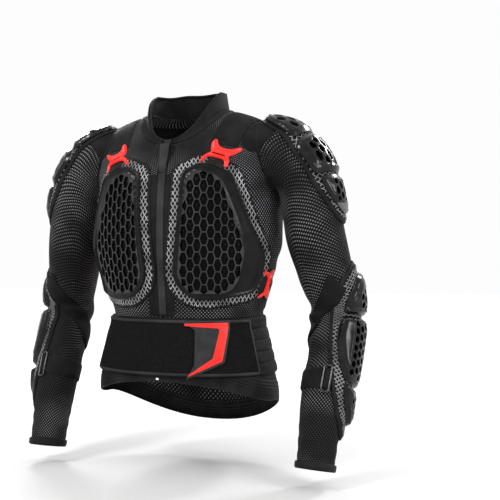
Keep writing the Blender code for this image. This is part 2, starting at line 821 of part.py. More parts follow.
def belt_piece(parts):
    """Elastic kidney belt with channels sewn along it, all round the waist."""
    inner = HEM_BAND_THICKNESS - CLOTH + BELT_EASE
    outer = inner + BELT_THICKNESS
    bottom = BELT_TOP + BELT_HEIGHT
    corners = [(bottom, inner), (bottom, outer)]
    pitch = BELT_HEIGHT / (BELT_CHANNELS + 1)
    for channel in range(BELT_CHANNELS, 0, -1):
        middle = BELT_TOP + channel * pitch
        corners += [(middle, outer - CHANNEL_DEPTH), (middle - pitch / 2, outer)]
    corners += [(BELT_TOP, outer), (BELT_TOP, inner)]
    return band_ring("kidney_belt", corners, belt_offset, COLUMNS, 1, "webbing", parts)


def cuff_pieces(parts):
    """Rolled binding round the end of each sleeve."""
    low = 1.0
    high = 1.0 - CUFF_HEIGHT / ARM_AXIS_LENGTH
    middle = (low + high) / 2
    inner = LAY_GAP
    outer = inner + CUFF_THICKNESS
    corners = ((low, inner), (low, outer * 0.75), (middle, outer), (high, outer * 0.75), (high, inner))
    return {
        name: band_ring(name + "_cuff", corners, arm_point, ARM_COLUMNS, side, "smooth_fabric", parts)
        for name, side in SIDES
    }


def chest_frame(shares):
    """Shares of the chest plate as flat lengths in the plate's own view."""
    left = CHEST_PLATE_LEFT * CHEST_PLATE_WIDTH
    bottom = -CHEST_PLATE_BOTTOM * BODY_LENGTH
    return [(left + x * CHEST_PLATE_WIDTH, bottom + y * CHEST_PLATE_HEIGHT) for x, y in shares]


def chest_armour(parts, torso_skin, body, placket):
    """On each side of the chest a net pad, and on it a plate cut through with honeycomb."""
    plate_outline = chest_frame(CHEST_PLATE)
    pad_outline = grown(plate_outline, PAD_BORDER)
    cells = honeycomb(chest_frame(CHEST_FIELD), CELL_COLUMN, CELL_ROW, CELL_RIB)
    pads, plates = {}, {}
    for name, side in SIDES:
        ray = chest_ray(side)
        pads[name] = laid_patch(name + "_chest_pad", ray, torso_skin, pad_outline, [],
                                [tree_of(body), tree_of(placket)], PAD_THICKNESS, "pad_net",
                                parts)
        plates[name] = laid_patch(name + "_chest_plate", ray, torso_skin, plate_outline, cells,
                                  [tree_of(pads[name])], CHEST_PLATE_THICKNESS, "armour", parts)
    return pads, plates


def back_outline(rows):
    """A symmetrical outline down the back from its half widths."""
    right = [
        (row.half_width * BACK_PLATE_HALF_WIDTH, -BACK_PLATE_TOP - row.down * BACK_PLATE_HEIGHT)
        for row in rows
    ]
    return right + [(-x, z) for x, z in reversed(right)]


def back_armour(parts, torso_skin, carriers):
    """Net back pad, the winged spine plate cut through with honeycomb and slots, and a tail plate."""
    pad = laid_patch("back_pad", back_ray, torso_skin, back_outline(BACK_PAD), [],
                     [tree_of(piece) for piece in carriers], PAD_THICKNESS, "pad_net", parts,
                     FACET * 1.3)
    field = back_outline(BACK_FIELD)
    holes = honeycomb(field, BACK_CELL_COLUMN, BACK_CELL_ROW, CELL_RIB)
    for side in (1, -1):
        for row in BACK_SLOTS:
            x = side * row.half_width * BACK_PLATE_HALF_WIDTH
            z = -BACK_PLATE_TOP - row.down * BACK_PLATE_HEIGHT
            lean, tall, wide = side * SLOT_LENGTH * 0.18, SLOT_LENGTH / 2, SLOT_WIDTH / 2
            holes.append([(x - wide - lean, z - tall), (x + wide - lean, z - tall * 0.7),
                          (x + wide + lean, z + tall), (x - wide + lean, z + tall * 0.7)])
    pad_tree = tree_of(pad)
    plate = laid_patch("spine_plate", back_ray, torso_skin, back_outline(BACK_PLATE), holes,
                       [pad_tree], BACK_PLATE_THICKNESS, "armour", parts)
    top = -BACK_PLATE_TOP - BACK_PLATE_HEIGHT - TAIL_GAP
    half = TAIL_PLATE_WIDTH / 2
    tail_outline = [(-half, top), (half, top), (half, top - TAIL_PLATE_HEIGHT * 0.8),
                    (half * 0.8, top - TAIL_PLATE_HEIGHT), (-half * 0.8, top - TAIL_PLATE_HEIGHT),
                    (-half, top - TAIL_PLATE_HEIGHT * 0.8)]
    tail = laid_patch("tail_plate", back_ray, torso_skin, tail_outline, [], [pad_tree],
                      TAIL_PLATE_THICKNESS, "armour", parts)
    return pad, plate, tail


def limb_armour(parts, sleeve_skin, carriers):
    """On each shoulder and elbow a net pad that carries three moulded caps."""
    pads = {}
    for name, side in SIDES:
        ray = sleeve_ray(side)
        under = [tree_of(piece) for piece in carriers[name]]
        for place, outline, caps in (
            ("shoulder", SHOULDER_PAD, SHOULDER_CAPS),
            ("elbow", ELBOW_PAD, ELBOW_CAPS),
        ):
            pad = laid_patch(f"{name}_{place}_pad", ray, sleeve_skin, sleeve_outline(outline), [],
                             under, LIMB_PAD_THICKNESS, "pad_net", parts)
            pads[name, place] = pad
            pad_tree = tree_of(pad)
            for number, cap in enumerate(caps, 1):
                laid_patch(f"{name}_{place}_cap_{number}", ray, sleeve_skin, sleeve_outline(cap),
                           [], [pad_tree], CAP_THICKNESS, "armour", parts)
    return pads


def front_ray(u, v):
    """Flat points of the front, seen straight from ahead."""
    return Vector((u, -BODY_REACH, v)), Vector((0, 1, 0))


def ribbon(path, width):
    """The outline of a strap along a flat path of its middle points."""
    left, right = [], []
    for index, here in enumerate(path):
        before, after = path[max(index - 1, 0)], path[min(index + 1, len(path) - 1)]
        run = (Vector(after) - Vector(before)).normalized()
        across = Vector((run.y, -run.x)) * width / 2
        left.append(tuple(Vector(here) + across))
        right.append(tuple(Vector(here) - across))
    return left + right[::-1]


def box_outline(middle, width, height):
    """A rectangle about its middle."""
    x, y = middle
    return [(x - width / 2, y - height / 2), (x + width / 2, y - height / 2),
            (x + width / 2, y + height / 2), (x - width / 2, y + height / 2)]


def buckle(name, ray, skin, middle, stretch, turned, below, parts):
    """A moulded strap buckle: two crescents back to back with a slot for the webbing."""
    def placed(shares):
        result = []
        for x, y in shares:
            x, y = x * BUCKLE_WIDTH, y * BUCKLE_HEIGHT
            if turned:
                x, y = y, -x
            result.append((middle[0] + x * stretch[0], middle[1] + y * stretch[1]))
        return result

    return laid_patch(name, ray, skin, placed(BUCKLE), [placed(BUCKLE_SLOT)],
                      [tree_of(piece) for piece in below], BUCKLE_THICKNESS, "red_plastic", parts)


def placket_piece(parts, torso_skin, body):
    """Zip placket down the middle of the front, from the collar to the belt."""
    top = PLACKET_TOP * BODY_LENGTH
    outline = box_outline((0, -(top + BELT_TOP - PLACKET_GAP) / 2), PLACKET_WIDTH,
                          BELT_TOP - PLACKET_GAP - top)
    return laid_patch("zip_placket", front_ray, torso_skin, outline, [], [tree_of(body)],
                      PLACKET_THICKNESS, "smooth_fabric", parts)


def belt_front(parts, torso_skin, belt):
    """Hook and loop front of the belt, and the badge tab sewn to it."""
    low, high = -BELT_TOP - BELT_HEIGHT + BELT_MARGIN, -BELT_TOP - BELT_MARGIN
    start, stop = (turn * CHEST_HALF_WIDTH for turn in BELT_FRONT_TURN)
    outline = [(start, low), (stop, low), (stop, high), (start, high)]
    panel = laid_patch("belt_front", waist_ray, torso_skin, outline, [], [tree_of(belt)],
                       BELT_PANEL_THICKNESS, "smooth_fabric", parts)
    top = -BELT_TOP
    badge = [(BADGE_START + x * BADGE_WIDTH, top - y * BELT_HEIGHT) for x, y in BADGE]
    laid_patch("belt_badge", waist_ray, torso_skin, badge, [], [tree_of(panel), tree_of(belt)],
               BADGE_THICKNESS, "badge", parts)
    return panel


def shoulder_straps(parts, skins, body, sleeves, pads, plates, back_pad, spine_plate):
    """Strap over each shoulder with its wing, from the front buckle to the rear buckle."""
    torso_skin, whole_skin = skins
    wings, straps = {}, {}
    for name, side in SIDES:
        ray = shoulder_ray(side)
        under = [body, sleeves[name]]
        path = [(x * CHEST_HALF_WIDTH, v * CHEST_FRONT_DEPTH) for x, v in SHOULDER_STRAP]
        strap = laid_patch(name + "_shoulder_strap", ray, whole_skin, ribbon(path, STRAP_WIDTH), [],
                           [tree_of(piece) for piece in under + [pads[name], back_pad]],
                           STRAP_THICKNESS, "smooth_fabric", parts)
        wing_outline = [(x * CHEST_HALF_WIDTH, v * CHEST_FRONT_DEPTH) for x, v in SHOULDER_WING]
        wings[name] = laid_patch(name + "_shoulder_wing", ray, whole_skin, wing_outline, [],
                                 [tree_of(piece) for piece in under], STRAP_THICKNESS,
                                 "smooth_fabric", parts)
        straps[name] = strap
        x, v = FRONT_BUCKLE
        tab_outline = box_outline((CHEST_TAB[0] * CHEST_PLATE_WIDTH, -CHEST_TAB[1] * BODY_LENGTH),
                                  TAB_WIDTH, TAB_HEIGHT)
        tab = laid_patch(name + "_chest_tab", chest_ray(side), torso_skin, tab_outline, [],
                         [tree_of(piece) for piece in (pads[name], plates[name], body, strap)],
                         STRAP_THICKNESS, "webbing", parts)
        buckle(name + "_front_buckle", ray, torso_skin,
               (x * CHEST_HALF_WIDTH, v * CHEST_FRONT_DEPTH), (1.0, 1.2), False,
               [body, pads[name], plates[name], strap, tab], parts)
        x, v = REAR_BUCKLE
        buckle(name + "_rear_buckle", ray, torso_skin,
               (x * CHEST_HALF_WIDTH, v * CHEST_FRONT_DEPTH), (1.0, 1.0), False,
               [body, back_pad, spine_plate, strap], parts)
    return wings, straps


def side_straps(parts, torso_skin, body, belt, panel, pads, plates, back_pad):
    """Strap on each side from the back pad through a slider to the side buckle."""
    for name, side in SIDES:
        def ray(u, v, side=side):
            origin, direction = waist_ray(u, v)
            return mirrored(origin, side), mirrored(direction, side)

        def spot(turn, drop):
            return turn * CHEST_HALF_WIDTH, -drop * BODY_LENGTH

        under = [body, belt, panel, pads[name], back_pad]
        path = [spot(turn, drop) for turn, drop in SIDE_STRAP]
        strap = laid_patch(name + "_side_strap", ray, torso_skin, ribbon(path, SIDE_STRAP_WIDTH),
                           [], [tree_of(piece) for piece in under], STRAP_THICKNESS, "webbing",
                           parts)
        ring = box_outline(spot(*SIDE_SLIDER), SLIDER_WIDTH, SIDE_STRAP_WIDTH + 2 * LOOP_BAR)
        hole = box_outline(spot(*SIDE_SLIDER), SLIDER_WIDTH - 2 * LOOP_BAR,
                           SIDE_STRAP_WIDTH - LOOP_BAR)
        laid_patch(name + "_side_slider", ray, torso_skin, ring, [hole],
                   [tree_of(strap), tree_of(belt), tree_of(body)], BUCKLE_THICKNESS, "armour",
                   parts)
        tab = laid_patch(name + "_side_tab", ray, torso_skin,
                         box_outline(spot(*SIDE_TAB), TAB_WIDTH, TAB_WIDTH), [],
                         [tree_of(piece) for piece in (body, pads[name], plates[name])],
                         STRAP_THICKNESS, "webbing", parts)
        buckle(name + "_side_buckle", ray, torso_skin, spot(*SIDE_BUCKLE), (1.1, 1.0), True,
               [body, pads[name], plates[name], strap, tab], parts)


def sleeve_straps(parts, sleeve_skin, sleeves, limb_pads):
    """Broad elastic across the inside of each elbow, and a strap with its loop round the forearm."""
    for name, side in SIDES:
        ray = sleeve_ray(side)
        under = [tree_of(sleeves[name]), tree_of(limb_pads[name, "elbow"])]
        cross = laid_patch(name + "_elbow_strap", ray, sleeve_skin,
                           ribbon(sleeve_outline(ELBOW_STRAP), ELBOW_STRAP_WIDTH), [], under,
                           STRAP_THICKNESS, "smooth_fabric", parts)
        strap = laid_patch(name + "_forearm_strap", ray, sleeve_skin,
                           ribbon(sleeve_outline(FOREARM_STRAP), FOREARM_STRAP_WIDTH), [],
                           under + [tree_of(cross)], STRAP_THICKNESS, "webbing", parts)
        middle = sleeve_outline([FOREARM_LOOP])[0]
        ring = box_outline(middle, FOREARM_STRAP_WIDTH + 2 * LOOP_BAR, LOOP_WIDTH)
        hole = box_outline(middle, FOREARM_STRAP_WIDTH - LOOP_BAR, LOOP_WIDTH - 2 * LOOP_BAR)
        laid_patch(name + "_forearm_loop", ray, sleeve_skin, ring, [hole],
                   under + [tree_of(strap)], BUCKLE_THICKNESS, "armour", parts)


def build():
    """Make every piece, each laid over the ones that carry it."""
    parts, cutters = start_scene()
    body, sleeves = body_and_sleeves(parts, cutters)
    torso_surface = (torso_point, even(HEM_ROW, NECK_ROW, 100), ring_angles(128))
    sleeve_surfaces = [
        (lambda share, angle, side=side: mirrored(arm_point(share, angle), side),
         even(0.0, 1.0, 90), ring_angles(48))
        for _, side in SIDES
    ]
    torso_skin = skin_tree([torso_surface])
    whole_skin = skin_tree([torso_surface] + sleeve_surfaces)
    collar_piece(parts)
    hem = hem_piece(parts)
    belt = belt_piece(parts)
    cuff_pieces(parts)
    placket = placket_piece(parts, torso_skin, body)
    panel = belt_front(parts, torso_skin, belt)
    pads, plates = chest_armour(parts, torso_skin, body, placket)
    back_pad, spine_plate, _ = back_armour(parts, torso_skin, [body, hem, belt])
    wings, straps = shoulder_straps(parts, (torso_skin, whole_skin), body, sleeves, pads, plates,
                                    back_pad, spine_plate)
    side_straps(parts, torso_skin, body, belt, panel, pads, plates, back_pad)
    carriers = {name: [body, sleeves[name], wings[name], straps[name]] for name, _ in SIDES}
    limb_pads = limb_armour(parts, whole_skin, carriers)
    sleeve_straps(parts, skin_tree(sleeve_surfaces), sleeves, limb_pads)


build()
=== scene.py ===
"""Looks of a motorcycle armour jacket: stretch mesh, net pads, moulded armour, straps and clips.

Metres, +Z up. The wearer faces -Y and the wearer's left arm is at +X.
"""

from collections import namedtuple
from math import cos, pi, radians, sin

import bpy
import numpy as np
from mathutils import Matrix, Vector
from mathutils.bvhtree import BVHTree
from mathutils.geometry import delaunay_2d_cdt


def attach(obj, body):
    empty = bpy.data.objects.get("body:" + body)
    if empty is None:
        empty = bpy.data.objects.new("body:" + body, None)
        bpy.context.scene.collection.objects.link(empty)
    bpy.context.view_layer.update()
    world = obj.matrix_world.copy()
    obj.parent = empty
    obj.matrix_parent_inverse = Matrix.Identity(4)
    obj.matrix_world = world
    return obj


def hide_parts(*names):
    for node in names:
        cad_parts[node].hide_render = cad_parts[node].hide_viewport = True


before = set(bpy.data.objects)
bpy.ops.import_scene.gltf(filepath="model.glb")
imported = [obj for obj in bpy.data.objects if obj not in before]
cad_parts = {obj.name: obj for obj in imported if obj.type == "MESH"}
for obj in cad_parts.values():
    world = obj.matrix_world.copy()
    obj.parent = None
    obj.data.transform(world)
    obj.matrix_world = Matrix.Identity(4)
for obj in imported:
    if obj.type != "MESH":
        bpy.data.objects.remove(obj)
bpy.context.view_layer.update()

# Mesh body.
# The body is one tube of black stretch mesh knitted with pale dots, cut with a drop tail at the
# back and sewn to the sleeves at the armholes. Its shape is the CAD's, in finer rows.
BODY_LENGTH = 0.601
CHEST_HALF_WIDTH = 0.190
CHEST_FRONT_DEPTH = 0.124
CHEST_BACK_DEPTH = 0.130
NECK_HALF_WIDTH = 0.072
CLOTH = 0.0015
BODY_CUT = (2 * pi * 0.155, 0.62)
DOT_PITCH = (0.0036, 0.0032)

TorsoRow = namedtuple("TorsoRow", "front side back width front_depth back_depth")
TORSO = (
    TorsoRow(0.822, 0.889, 1.000, 0.900, 0.952, 0.938),
    TorsoRow(0.769, 0.835, 0.947, 0.890, 0.940, 0.925),
    TorsoRow(0.700, 0.715, 0.765, 0.795, 0.895, 0.850),
    TorsoRow(0.641, 0.641, 0.641, 0.745, 0.872, 0.812),
    TorsoRow(0.532, 0.532, 0.532, 0.840, 0.935, 0.875),
    TorsoRow(0.416, 0.416, 0.416, 0.940, 0.985, 0.955),
    TorsoRow(0.305, 0.290, 0.290, 0.945, 0.970, 1.000),
    TorsoRow(0.218, 0.175, 0.180, 0.935, 0.915, 0.985),
    TorsoRow(0.177, 0.100, 0.106, 0.880, 0.855, 0.910),
    TorsoRow(0.153, 0.052, 0.056, 0.775, 0.805, 0.815),
    TorsoRow(0.137, 0.023, 0.022, 0.590, 0.765, 0.725),
    TorsoRow(0.123, 0.007, 0.000, 0.411, 0.726, 0.646),
)
BAND_ROW = 1
NECK_ROW = len(TORSO) - 1


def between(rows, place):
    """The rows of a table at places between them, on a smooth curve."""
    table = np.array(rows)
    place = np.clip(np.asarray(place, float), 0, len(rows) - 1)
    first = np.minimum(place.astype(int), len(rows) - 2)
    part = (place - first)[..., None]
    around = [table[np.clip(first + step, 0, len(rows) - 1)] for step in (-1, 0, 1, 2)]
    weights = (
        -0.5 * part + part**2 - 0.5 * part**3,
        1 - 2.5 * part**2 + 1.5 * part**3,
        0.5 * part + 2 * part**2 - 1.5 * part**3,
        -0.5 * part**2 + 0.5 * part**3,
    )
    return sum(weight * row for weight, row in zip(weights, around))


def torso_point(place, angle):
    """Points of the body's outside: places along the rows, angles from the front towards +X."""
    place, angle = np.broadcast_arrays(np.asarray(place, float), np.asarray(angle, float))
    front, side, back, width, front_depth, back_depth = np.moveaxis(between(TORSO, place), -1, 0)
    across, forward = np.sin(angle), np.cos(angle)
    middle = np.where(forward > 0, front, back)
    depth = np.where(forward > 0, front_depth * CHEST_FRONT_DEPTH, back_depth * CHEST_BACK_DEPTH)
    neck = np.clip(place - NECK_ROW + 1, 0, 1)
    half = width * CHEST_HALF_WIDTH
    half += neck * (NECK_HALF_WIDTH - TORSO[NECK_ROW].width * CHEST_HALF_WIDTH)
    drop = side + (middle - side) * np.abs(forward) ** 1.6
    x = half * np.sign(across) * np.abs(across) ** 0.92
    y = -depth * np.sign(forward) * np.abs(forward) ** 0.92
    return np.stack([x, y, -drop * BODY_LENGTH], -1)


def unit(vectors):
    return vectors / np.maximum(np.linalg.norm(vectors, axis=-1, keepdims=True), 1e-12)


def mirrored(points, side):
    return points * np.array([side, 1, 1])


def joint(material, kind, *inputs, out=0, **settings):
    """A node of a finish: its inputs in order, each a value, a socket or None, then settings."""
    node = material.node_tree.nodes.new("ShaderNode" + kind)
    for key, value in settings.items():
        setattr(node, key, value)
    for socket, value in zip(node.inputs, inputs):
        if isinstance(value, bpy.types.NodeSocket):
            material.node_tree.links.new(value, socket)
        elif value is not None:
            socket.default_value = value
    return node.outputs[out]


def finish(name, roughness, **sockets):
    """A new Principled finish; the sockets are numbers that hold all over the surface."""
    material = bpy.data.materials.new(name)
    material.use_nodes = True
    shader = material.node_tree.nodes["Principled BSDF"]
    shader.inputs["Roughness"].default_value = roughness
    for key, value in sockets.items():
        shader.inputs[key.replace("_", " ")].default_value = value
    return material


def wire(material, name, socket):
    """Join a node's output to an input of the finish."""
    shader = material.node_tree.nodes["Principled BSDF"]
    material.node_tree.links.new(socket, shader.inputs[name])


# The sockets that a Mix node uses for colours.
MIX_FACTOR, MIX_DARK, MIX_LIGHT, MIX_RESULT = 0, 6, 7, 2


def tinted(material, mask, dark, light):
    """The finish's colour: dark where the mask is 0, light where it is 1."""
    mix = material.node_tree.nodes.new("ShaderNodeMix")
    mix.data_type = "RGBA"
    material.node_tree.links.new(mask, mix.inputs[MIX_FACTOR])
    mix.inputs[MIX_DARK].default_value = (*dark, 1)
    mix.inputs[MIX_LIGHT].default_value = (*light, 1)
    wire(material, "Base Color", mix.outputs[MIX_RESULT])


def raised(material, height, depth):
    """Relief of a depth in metres from a height of 0 to 1."""
    bump = material.node_tree.nodes.new("ShaderNodeBump")
    bump.inputs["Distance"].default_value = depth
    bump.inputs["Strength"].default_value = 1.0
    material.node_tree.links.new(height, bump.inputs["Height"])
    wire(material, "Normal", bump.outputs["Normal"])


def math_of(material, operation, *inputs):
    return joint(material, "Math", *inputs, operation=operation)


def cloth_place(material, pitch, turn=0.0):
    """The two coordinates along the cloth, counted in half pitches and turned into waves."""
    place = joint(material, "UVMap", uv_map="cut")
    scale = (pi / pitch[0], pi / pitch[1], 1)
    turned = joint(material, "VectorRotate", place, None, None, turn, rotation_type="Z_AXIS")
    spread = joint(material, "VectorMath", turned, scale, operation="MULTIPLY")
    waves = joint(material, "VectorMath", spread, operation="SINE")
    parts = material.node_tree.nodes.new("ShaderNodeSeparateXYZ")
    material.node_tree.links.new(waves, parts.inputs[0])
    return parts.outputs["X"], parts.outputs["Y"]


def soft_noise(material, scale, detail=3.0):
    """Soft noise from 0 to 1 that stays with the piece."""
    place = joint(material, "TexCoord", out="Object")
    noise = material.node_tree.nodes.new("ShaderNodeTexNoise")
    material.node_tree.links.new(place, noise.inputs["Vector"])
    noise.inputs["Scale"].default_value = scale
    noise.inputs["Detail"].default_value = detail
    return noise.outputs[0]


def step_up(material, value, low, high):
    """A value brought from low..high to 0..1 on a smooth step."""
    return joint(material, "MapRange", value, low, high, 0, 1, interpolation_type="SMOOTHSTEP")


def mesh_finish(name, dark, light, pitch):
    """Stretch mesh: pale raised dots in slanting rows on black, fainter in patches."""
    material = finish(name, 0.8, Specular_IOR_Level=0.08)
    across, along = cloth_place(material, pitch)
    dots = step_up(material, math_of(material, "MULTIPLY", across, along), 0.2, 0.8)
    patches = step_up(material, soft_noise(material, 9.0), 0.34, 0.62)
    shown = math_of(material, "MULTIPLY", dots, math_of(material, "MULTIPLY_ADD", patches, 0.85, 0.15))
    tinted(material, shown, dark, light)
    raised(material, dots, 0.0006)
    return material


# The dots are the knit's own pattern. Their pale colour is partly the yarn's and partly painted
# highlight where the loops catch the light.
stretch_mesh = mesh_finish("stretch_mesh", (0.003, 0.003, 0.0033), (0.190, 0.190, 0.197), DOT_PITCH)
SHARP_EDGE = radians(38)


def cloth_object(name, points, faces, cut, materials, picks=None):
    """A mesh object with its flat cut as UVs in metres, shaded smooth between sharp edges."""
    mesh = bpy.data.meshes.new(name)
    mesh.from_pydata(np.asarray(points).tolist(), [], [list(map(int, face)) for face in faces])
    layer = mesh.uv_layers.new(name="cut")
    order = np.empty(len(mesh.loops), dtype=np.int32)
    mesh.loops.foreach_get("vertex_index", order)
    if callable(cut):
        spread = cut(mesh, order)
    else:
        spread = np.asarray(cut)[order]
    layer.data.foreach_set("uv", np.ascontiguousarray(spread, dtype=np.float32).ravel())
    for material in materials:
        mesh.materials.append(material)
    if picks is not None:
        mesh.polygons.foreach_set("material_index", np.asarray(picks, dtype=np.int32))
    mesh.polygons.foreach_set("use_smooth", np.ones(len(mesh.polygons), dtype=bool))
    mesh.set_sharp_from_angle(angle=SHARP_EDGE)
    mesh.update()
    piece = bpy.data.objects.new(name, mesh)
    bpy.context.scene.collection.objects.link(piece)
    return piece


def grid_faces(rows, columns, closed):
    """Quads between successive rows of points."""
    row, column = np.meshgrid(np.arange(rows - 1), np.arange(columns if closed else columns - 1),
                              indexing="ij")
    after = (column + 1) % columns
    quads = np.stack([row * columns + column, row * columns + after,
                      (row + 1) * columns + after, (row + 1) * columns + column], -1)
    return quads.reshape(-1, 4)


def knit_grid(name, points, size, closed, materials, keep=None, flip=False):
    """A grid of points as cloth, its UVs the row and column spread over a size in metres."""
    rows, columns = points.shape[:2]
    faces = grid_faces(rows, columns, closed)
    if keep is not None:
        faces = faces[keep.ravel()[faces].any(1)]
    if flip:
        faces = faces[:, ::-1]
    span = columns if closed else columns - 1

    def cut(mesh, order):
        row, column = np.divmod(order, columns)
        column = column.astype(float).reshape(-1, 4)
        if closed:
            wraps = column.max(1) - column.min(1) > columns / 2
            column[wraps] = np.where(column[wraps] == 0, columns, column[wraps])
        return np.stack([column.ravel() / span * size[0], row / (rows - 1) * size[1]], -1)

    return cloth_object(name, points.reshape(-1, 3), faces, cut, materials)


def dress(piece, slot, *nodes):
    """Hand a piece to the frame: it stands for its CAD nodes, which are hidden. Its slot is not used.
    """
    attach(piece, "root")
    if nodes:
        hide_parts(*nodes)
    return piece


def walled(piece, thickness):
    """Cloth given its thickness, inward from its outside."""
    wall = piece.modifiers.new("wall", "SOLIDIFY")
    wall.thickness = thickness
    wall.offset = -1
    return piece


def tree_from(points, faces):
    """A surface that lines can be cast on."""
    return BVHTree.FromPolygons(np.asarray(points).reshape(-1, 3).tolist(),
                                [list(map(int, face)) for face in faces])


def body_folds(place, angle):
    """How deep the cloth sinks below its smooth shape: creases under the arms and over the belt."""
    side = np.abs(np.sin(angle)) ** 3
    above_belt = np.exp(-(((place - 4.1) / 0.9) ** 2))
    creases = 0.5 + 0.5 * np.sin(place * 9.0 + 2.5 * np.sin(2 * angle) + np.cos(5 * angle))
    underarm = np.exp(-(((place - 6.3) / 0.8) ** 2)) * side
    pulls = 0.5 + 0.5 * np.sin(place * 6.0 + 4.0 * angle)
    skirt = np.clip((2.6 - place) / 1.6, 0, 1) * np.clip(place - BAND_ROW, 0, 1) * 2
    waves = 0.5 + 0.5 * np.sin(11 * angle + place * 2)
    return 0.0030 * above_belt * creases * (0.3 + side) + 0.0040 * underarm * pulls + (
        0.0025 * skirt * waves)


BODY_COLUMNS = 192
BODY_ROWS = 126
body_angles = np.arange(BODY_COLUMNS) * 2 * pi / BODY_COLUMNS
body_places = np.linspace(BAND_ROW + 0.02, NECK_ROW - 0.02, BODY_ROWS)[:, None]
smooth_body = torso_point(body_places, body_angles)
outward = np.stack([np.sin(body_angles), -np.cos(body_angles), np.zeros(BODY_COLUMNS)], -1)
body_points = smooth_body - outward * body_folds(body_places, body_angles)[..., None]

# Sleeves.
# Each sleeve is a tube of the same stretch mesh, sewn into its armhole under a doubled piping,
# and it gathers in folds across the inner side of the bent elbow.
ARM_DROP = 0.553
SLEEVE_RADIUS = 0.060
ELBOW_SHARE = 0.585
FOLD_DEPTH = 0.0025
SLEEVE_COLUMNS = 84
SLEEVE_ROWS = 160
SLEEVE_TUCK = 0.004
ARMHOLE_OVERLAP = 0.004
PIPING_RADIUS = 0.0017
PIPING_ROWS = (0.0016, 0.0060)
SIDES = (("left", 1), ("right", -1))

ArmRow = namedtuple("ArmRow", "out back drop radius")
ARM = (
    ArmRow(0.000, 0.000, 0.000, 0.850),
    ArmRow(0.058, 0.000, 0.004, 0.930),
    ArmRow(0.125, -0.004, 0.022, 0.980),
    ArmRow(0.177, -0.007, 0.065, 0.930),
    ArmRow(0.210, -0.011, 0.128, 0.870),
    ArmRow(0.235, -0.007, 0.273, 0.885),
    ArmRow(0.262, 0.020, 0.400, 0.820),
    ArmRow(0.284, 0.047, 0.526, 0.700),
    ArmRow(0.284, 0.007, 0.644, 0.675),
    ArmRow(0.277, -0.056, 0.770, 0.645),
    ArmRow(0.273, -0.098, 0.888, 0.590),
    ArmRow(0.269, -0.132, 1.000, 0.530),
)
SHOULDER = np.array([0.62 * CHEST_HALF_WIDTH, 0.004, -0.140 * BODY_LENGTH])


def arm_axis(place):
    """Axis points and radii of the left sleeve at places along its rows."""
    row = between(ARM, place)
    centre = SHOULDER + np.stack([row[..., 0], row[..., 1], -row[..., 2]], -1) * ARM_DROP
    return centre, row[..., 3] * SLEEVE_RADIUS


def lengths_along(line):
    """The length of a line up to each of its points."""
    return np.concatenate([[0], np.cumsum(np.linalg.norm(np.diff(line, axis=0), axis=1))])


def eased(loop, rounds):
    """A closed run of values or points, smoothed with its neighbours."""
    for _ in range(rounds):
        loop = (np.roll(loop, 1, 0) + 2 * loop + np.roll(loop, -1, 0)) / 4
    return loop


fine_places = np.linspace(0, len(ARM) - 1, 20 * (len(ARM) - 1) + 1)
fine_lengths = lengths_along(arm_axis(fine_places)[0])
ARM_LENGTH = fine_lengths[-1]


def arm_frame(share):
    """Axis points, radii, outer and backward directions of the left sleeve at shares of it."""
    place = np.interp(share, fine_lengths / ARM_LENGTH, fine_places)
    centre, radius = arm_axis(place)
    tangent = unit(arm_axis(np.minimum(place + 0.05, len(ARM) - 1))[0]
                   - arm_axis(np.maximum(place - 0.05, 0))[0])
    back = np.zeros_like(tangent)
    back[..., 1] = 1
    back = unit(back - tangent * (back * tangent).sum(-1, keepdims=True))
    return centre, radius, np.cross(tangent, back), back


def arm_point(share, angle, offset=0.0):
    """Points of the left sleeve's outside: share of its length, angle from the outer side."""
    share, angle = np.broadcast_arrays(np.asarray(share, float), np.asarray(angle, float))
    centre, radius, outer, back = arm_frame(share)
    near = np.clip(1 - np.abs(share - ELBOW_SHARE) / 0.12, 0, 1)
    inner = np.clip(-np.sin(angle), 0, 1) * 0.6 + np.clip(-np.cos(angle), 0, 1)
    fold = FOLD_DEPTH * near * inner * np.cos(2 * pi * (share - ELBOW_SHARE) / 0.075)
    around = outer * np.cos(angle)[..., None] + back * np.sin(angle)[..., None]
    return centre + around * (radius + offset + fold)[..., None]


def sleeve_folds(share, angle):
    """How deep the sleeve sinks below its smooth shape, mostly on its inner side."""
    inner = np.clip(0.55 - np.cos(angle), 0, 1.5) / 1.5
    rings = 0.5 + 0.5 * np.sin(share * 62 + 1.6 * np.sin(angle * 2 + 1) + np.sin(angle * 3))
    where = np.exp(-(((share - 0.60) / 0.13) ** 2)) + 0.35 * np.exp(-(((share - 0.25) / 0.10) ** 2))
    wrist = np.exp(-(((share - 0.93) / 0.05) ** 2)) * (0.5 + 0.5 * np.sin(share * 170 + angle))
    return 0.0042 * inner * rings * where + 0.0012 * wrist


def tube_set(name, runs, half_width, half_height, sides, closed, material):
    """Cords along runs of points, each with its upward directions, in one object."""
    points, faces, cuts = [], [], []
    first = 0
    turns = np.arange(sides) * 2 * pi / sides
    for line, up in runs:
        line, up = np.asarray(line), np.asarray(up)
        if closed:
            along = unit(np.roll(line, -1, 0) - np.roll(line, 1, 0))
        else:
            along = unit(np.gradient(line, axis=0))
        across = unit(np.cross(along, up))
        up = np.cross(across, along)
        ring = (line[:, None] + across[:, None] * (np.cos(turns) * half_width)[None, :, None]
                + up[:, None] * (np.sin(turns) * half_height)[None, :, None])
        count = len(line)
        quads = grid_faces(count, sides, True)
        if closed:
            last = (count - 1) * sides
            ends = np.arange(sides)
            after = (ends + 1) % sides
            quads = np.concatenate([quads, np.stack([last + ends, last + after, after, ends], -1)])
        faces += (quads + first).tolist()
        if not closed:
            faces.append((np.arange(sides)[::-1] + first).tolist())
            faces.append((np.arange(sides) + first + (count - 1) * sides).tolist())
        cuts.append(np.stack(np.broadcast_arrays(lengths_along(line)[:, None],
                                                 (turns * half_width)[None]), -1).reshape(-1, 2))
        points.append(ring.reshape(-1, 3))
        first += count * sides
    return cloth_object(name, np.concatenate(points), faces, np.concatenate(cuts), [material])


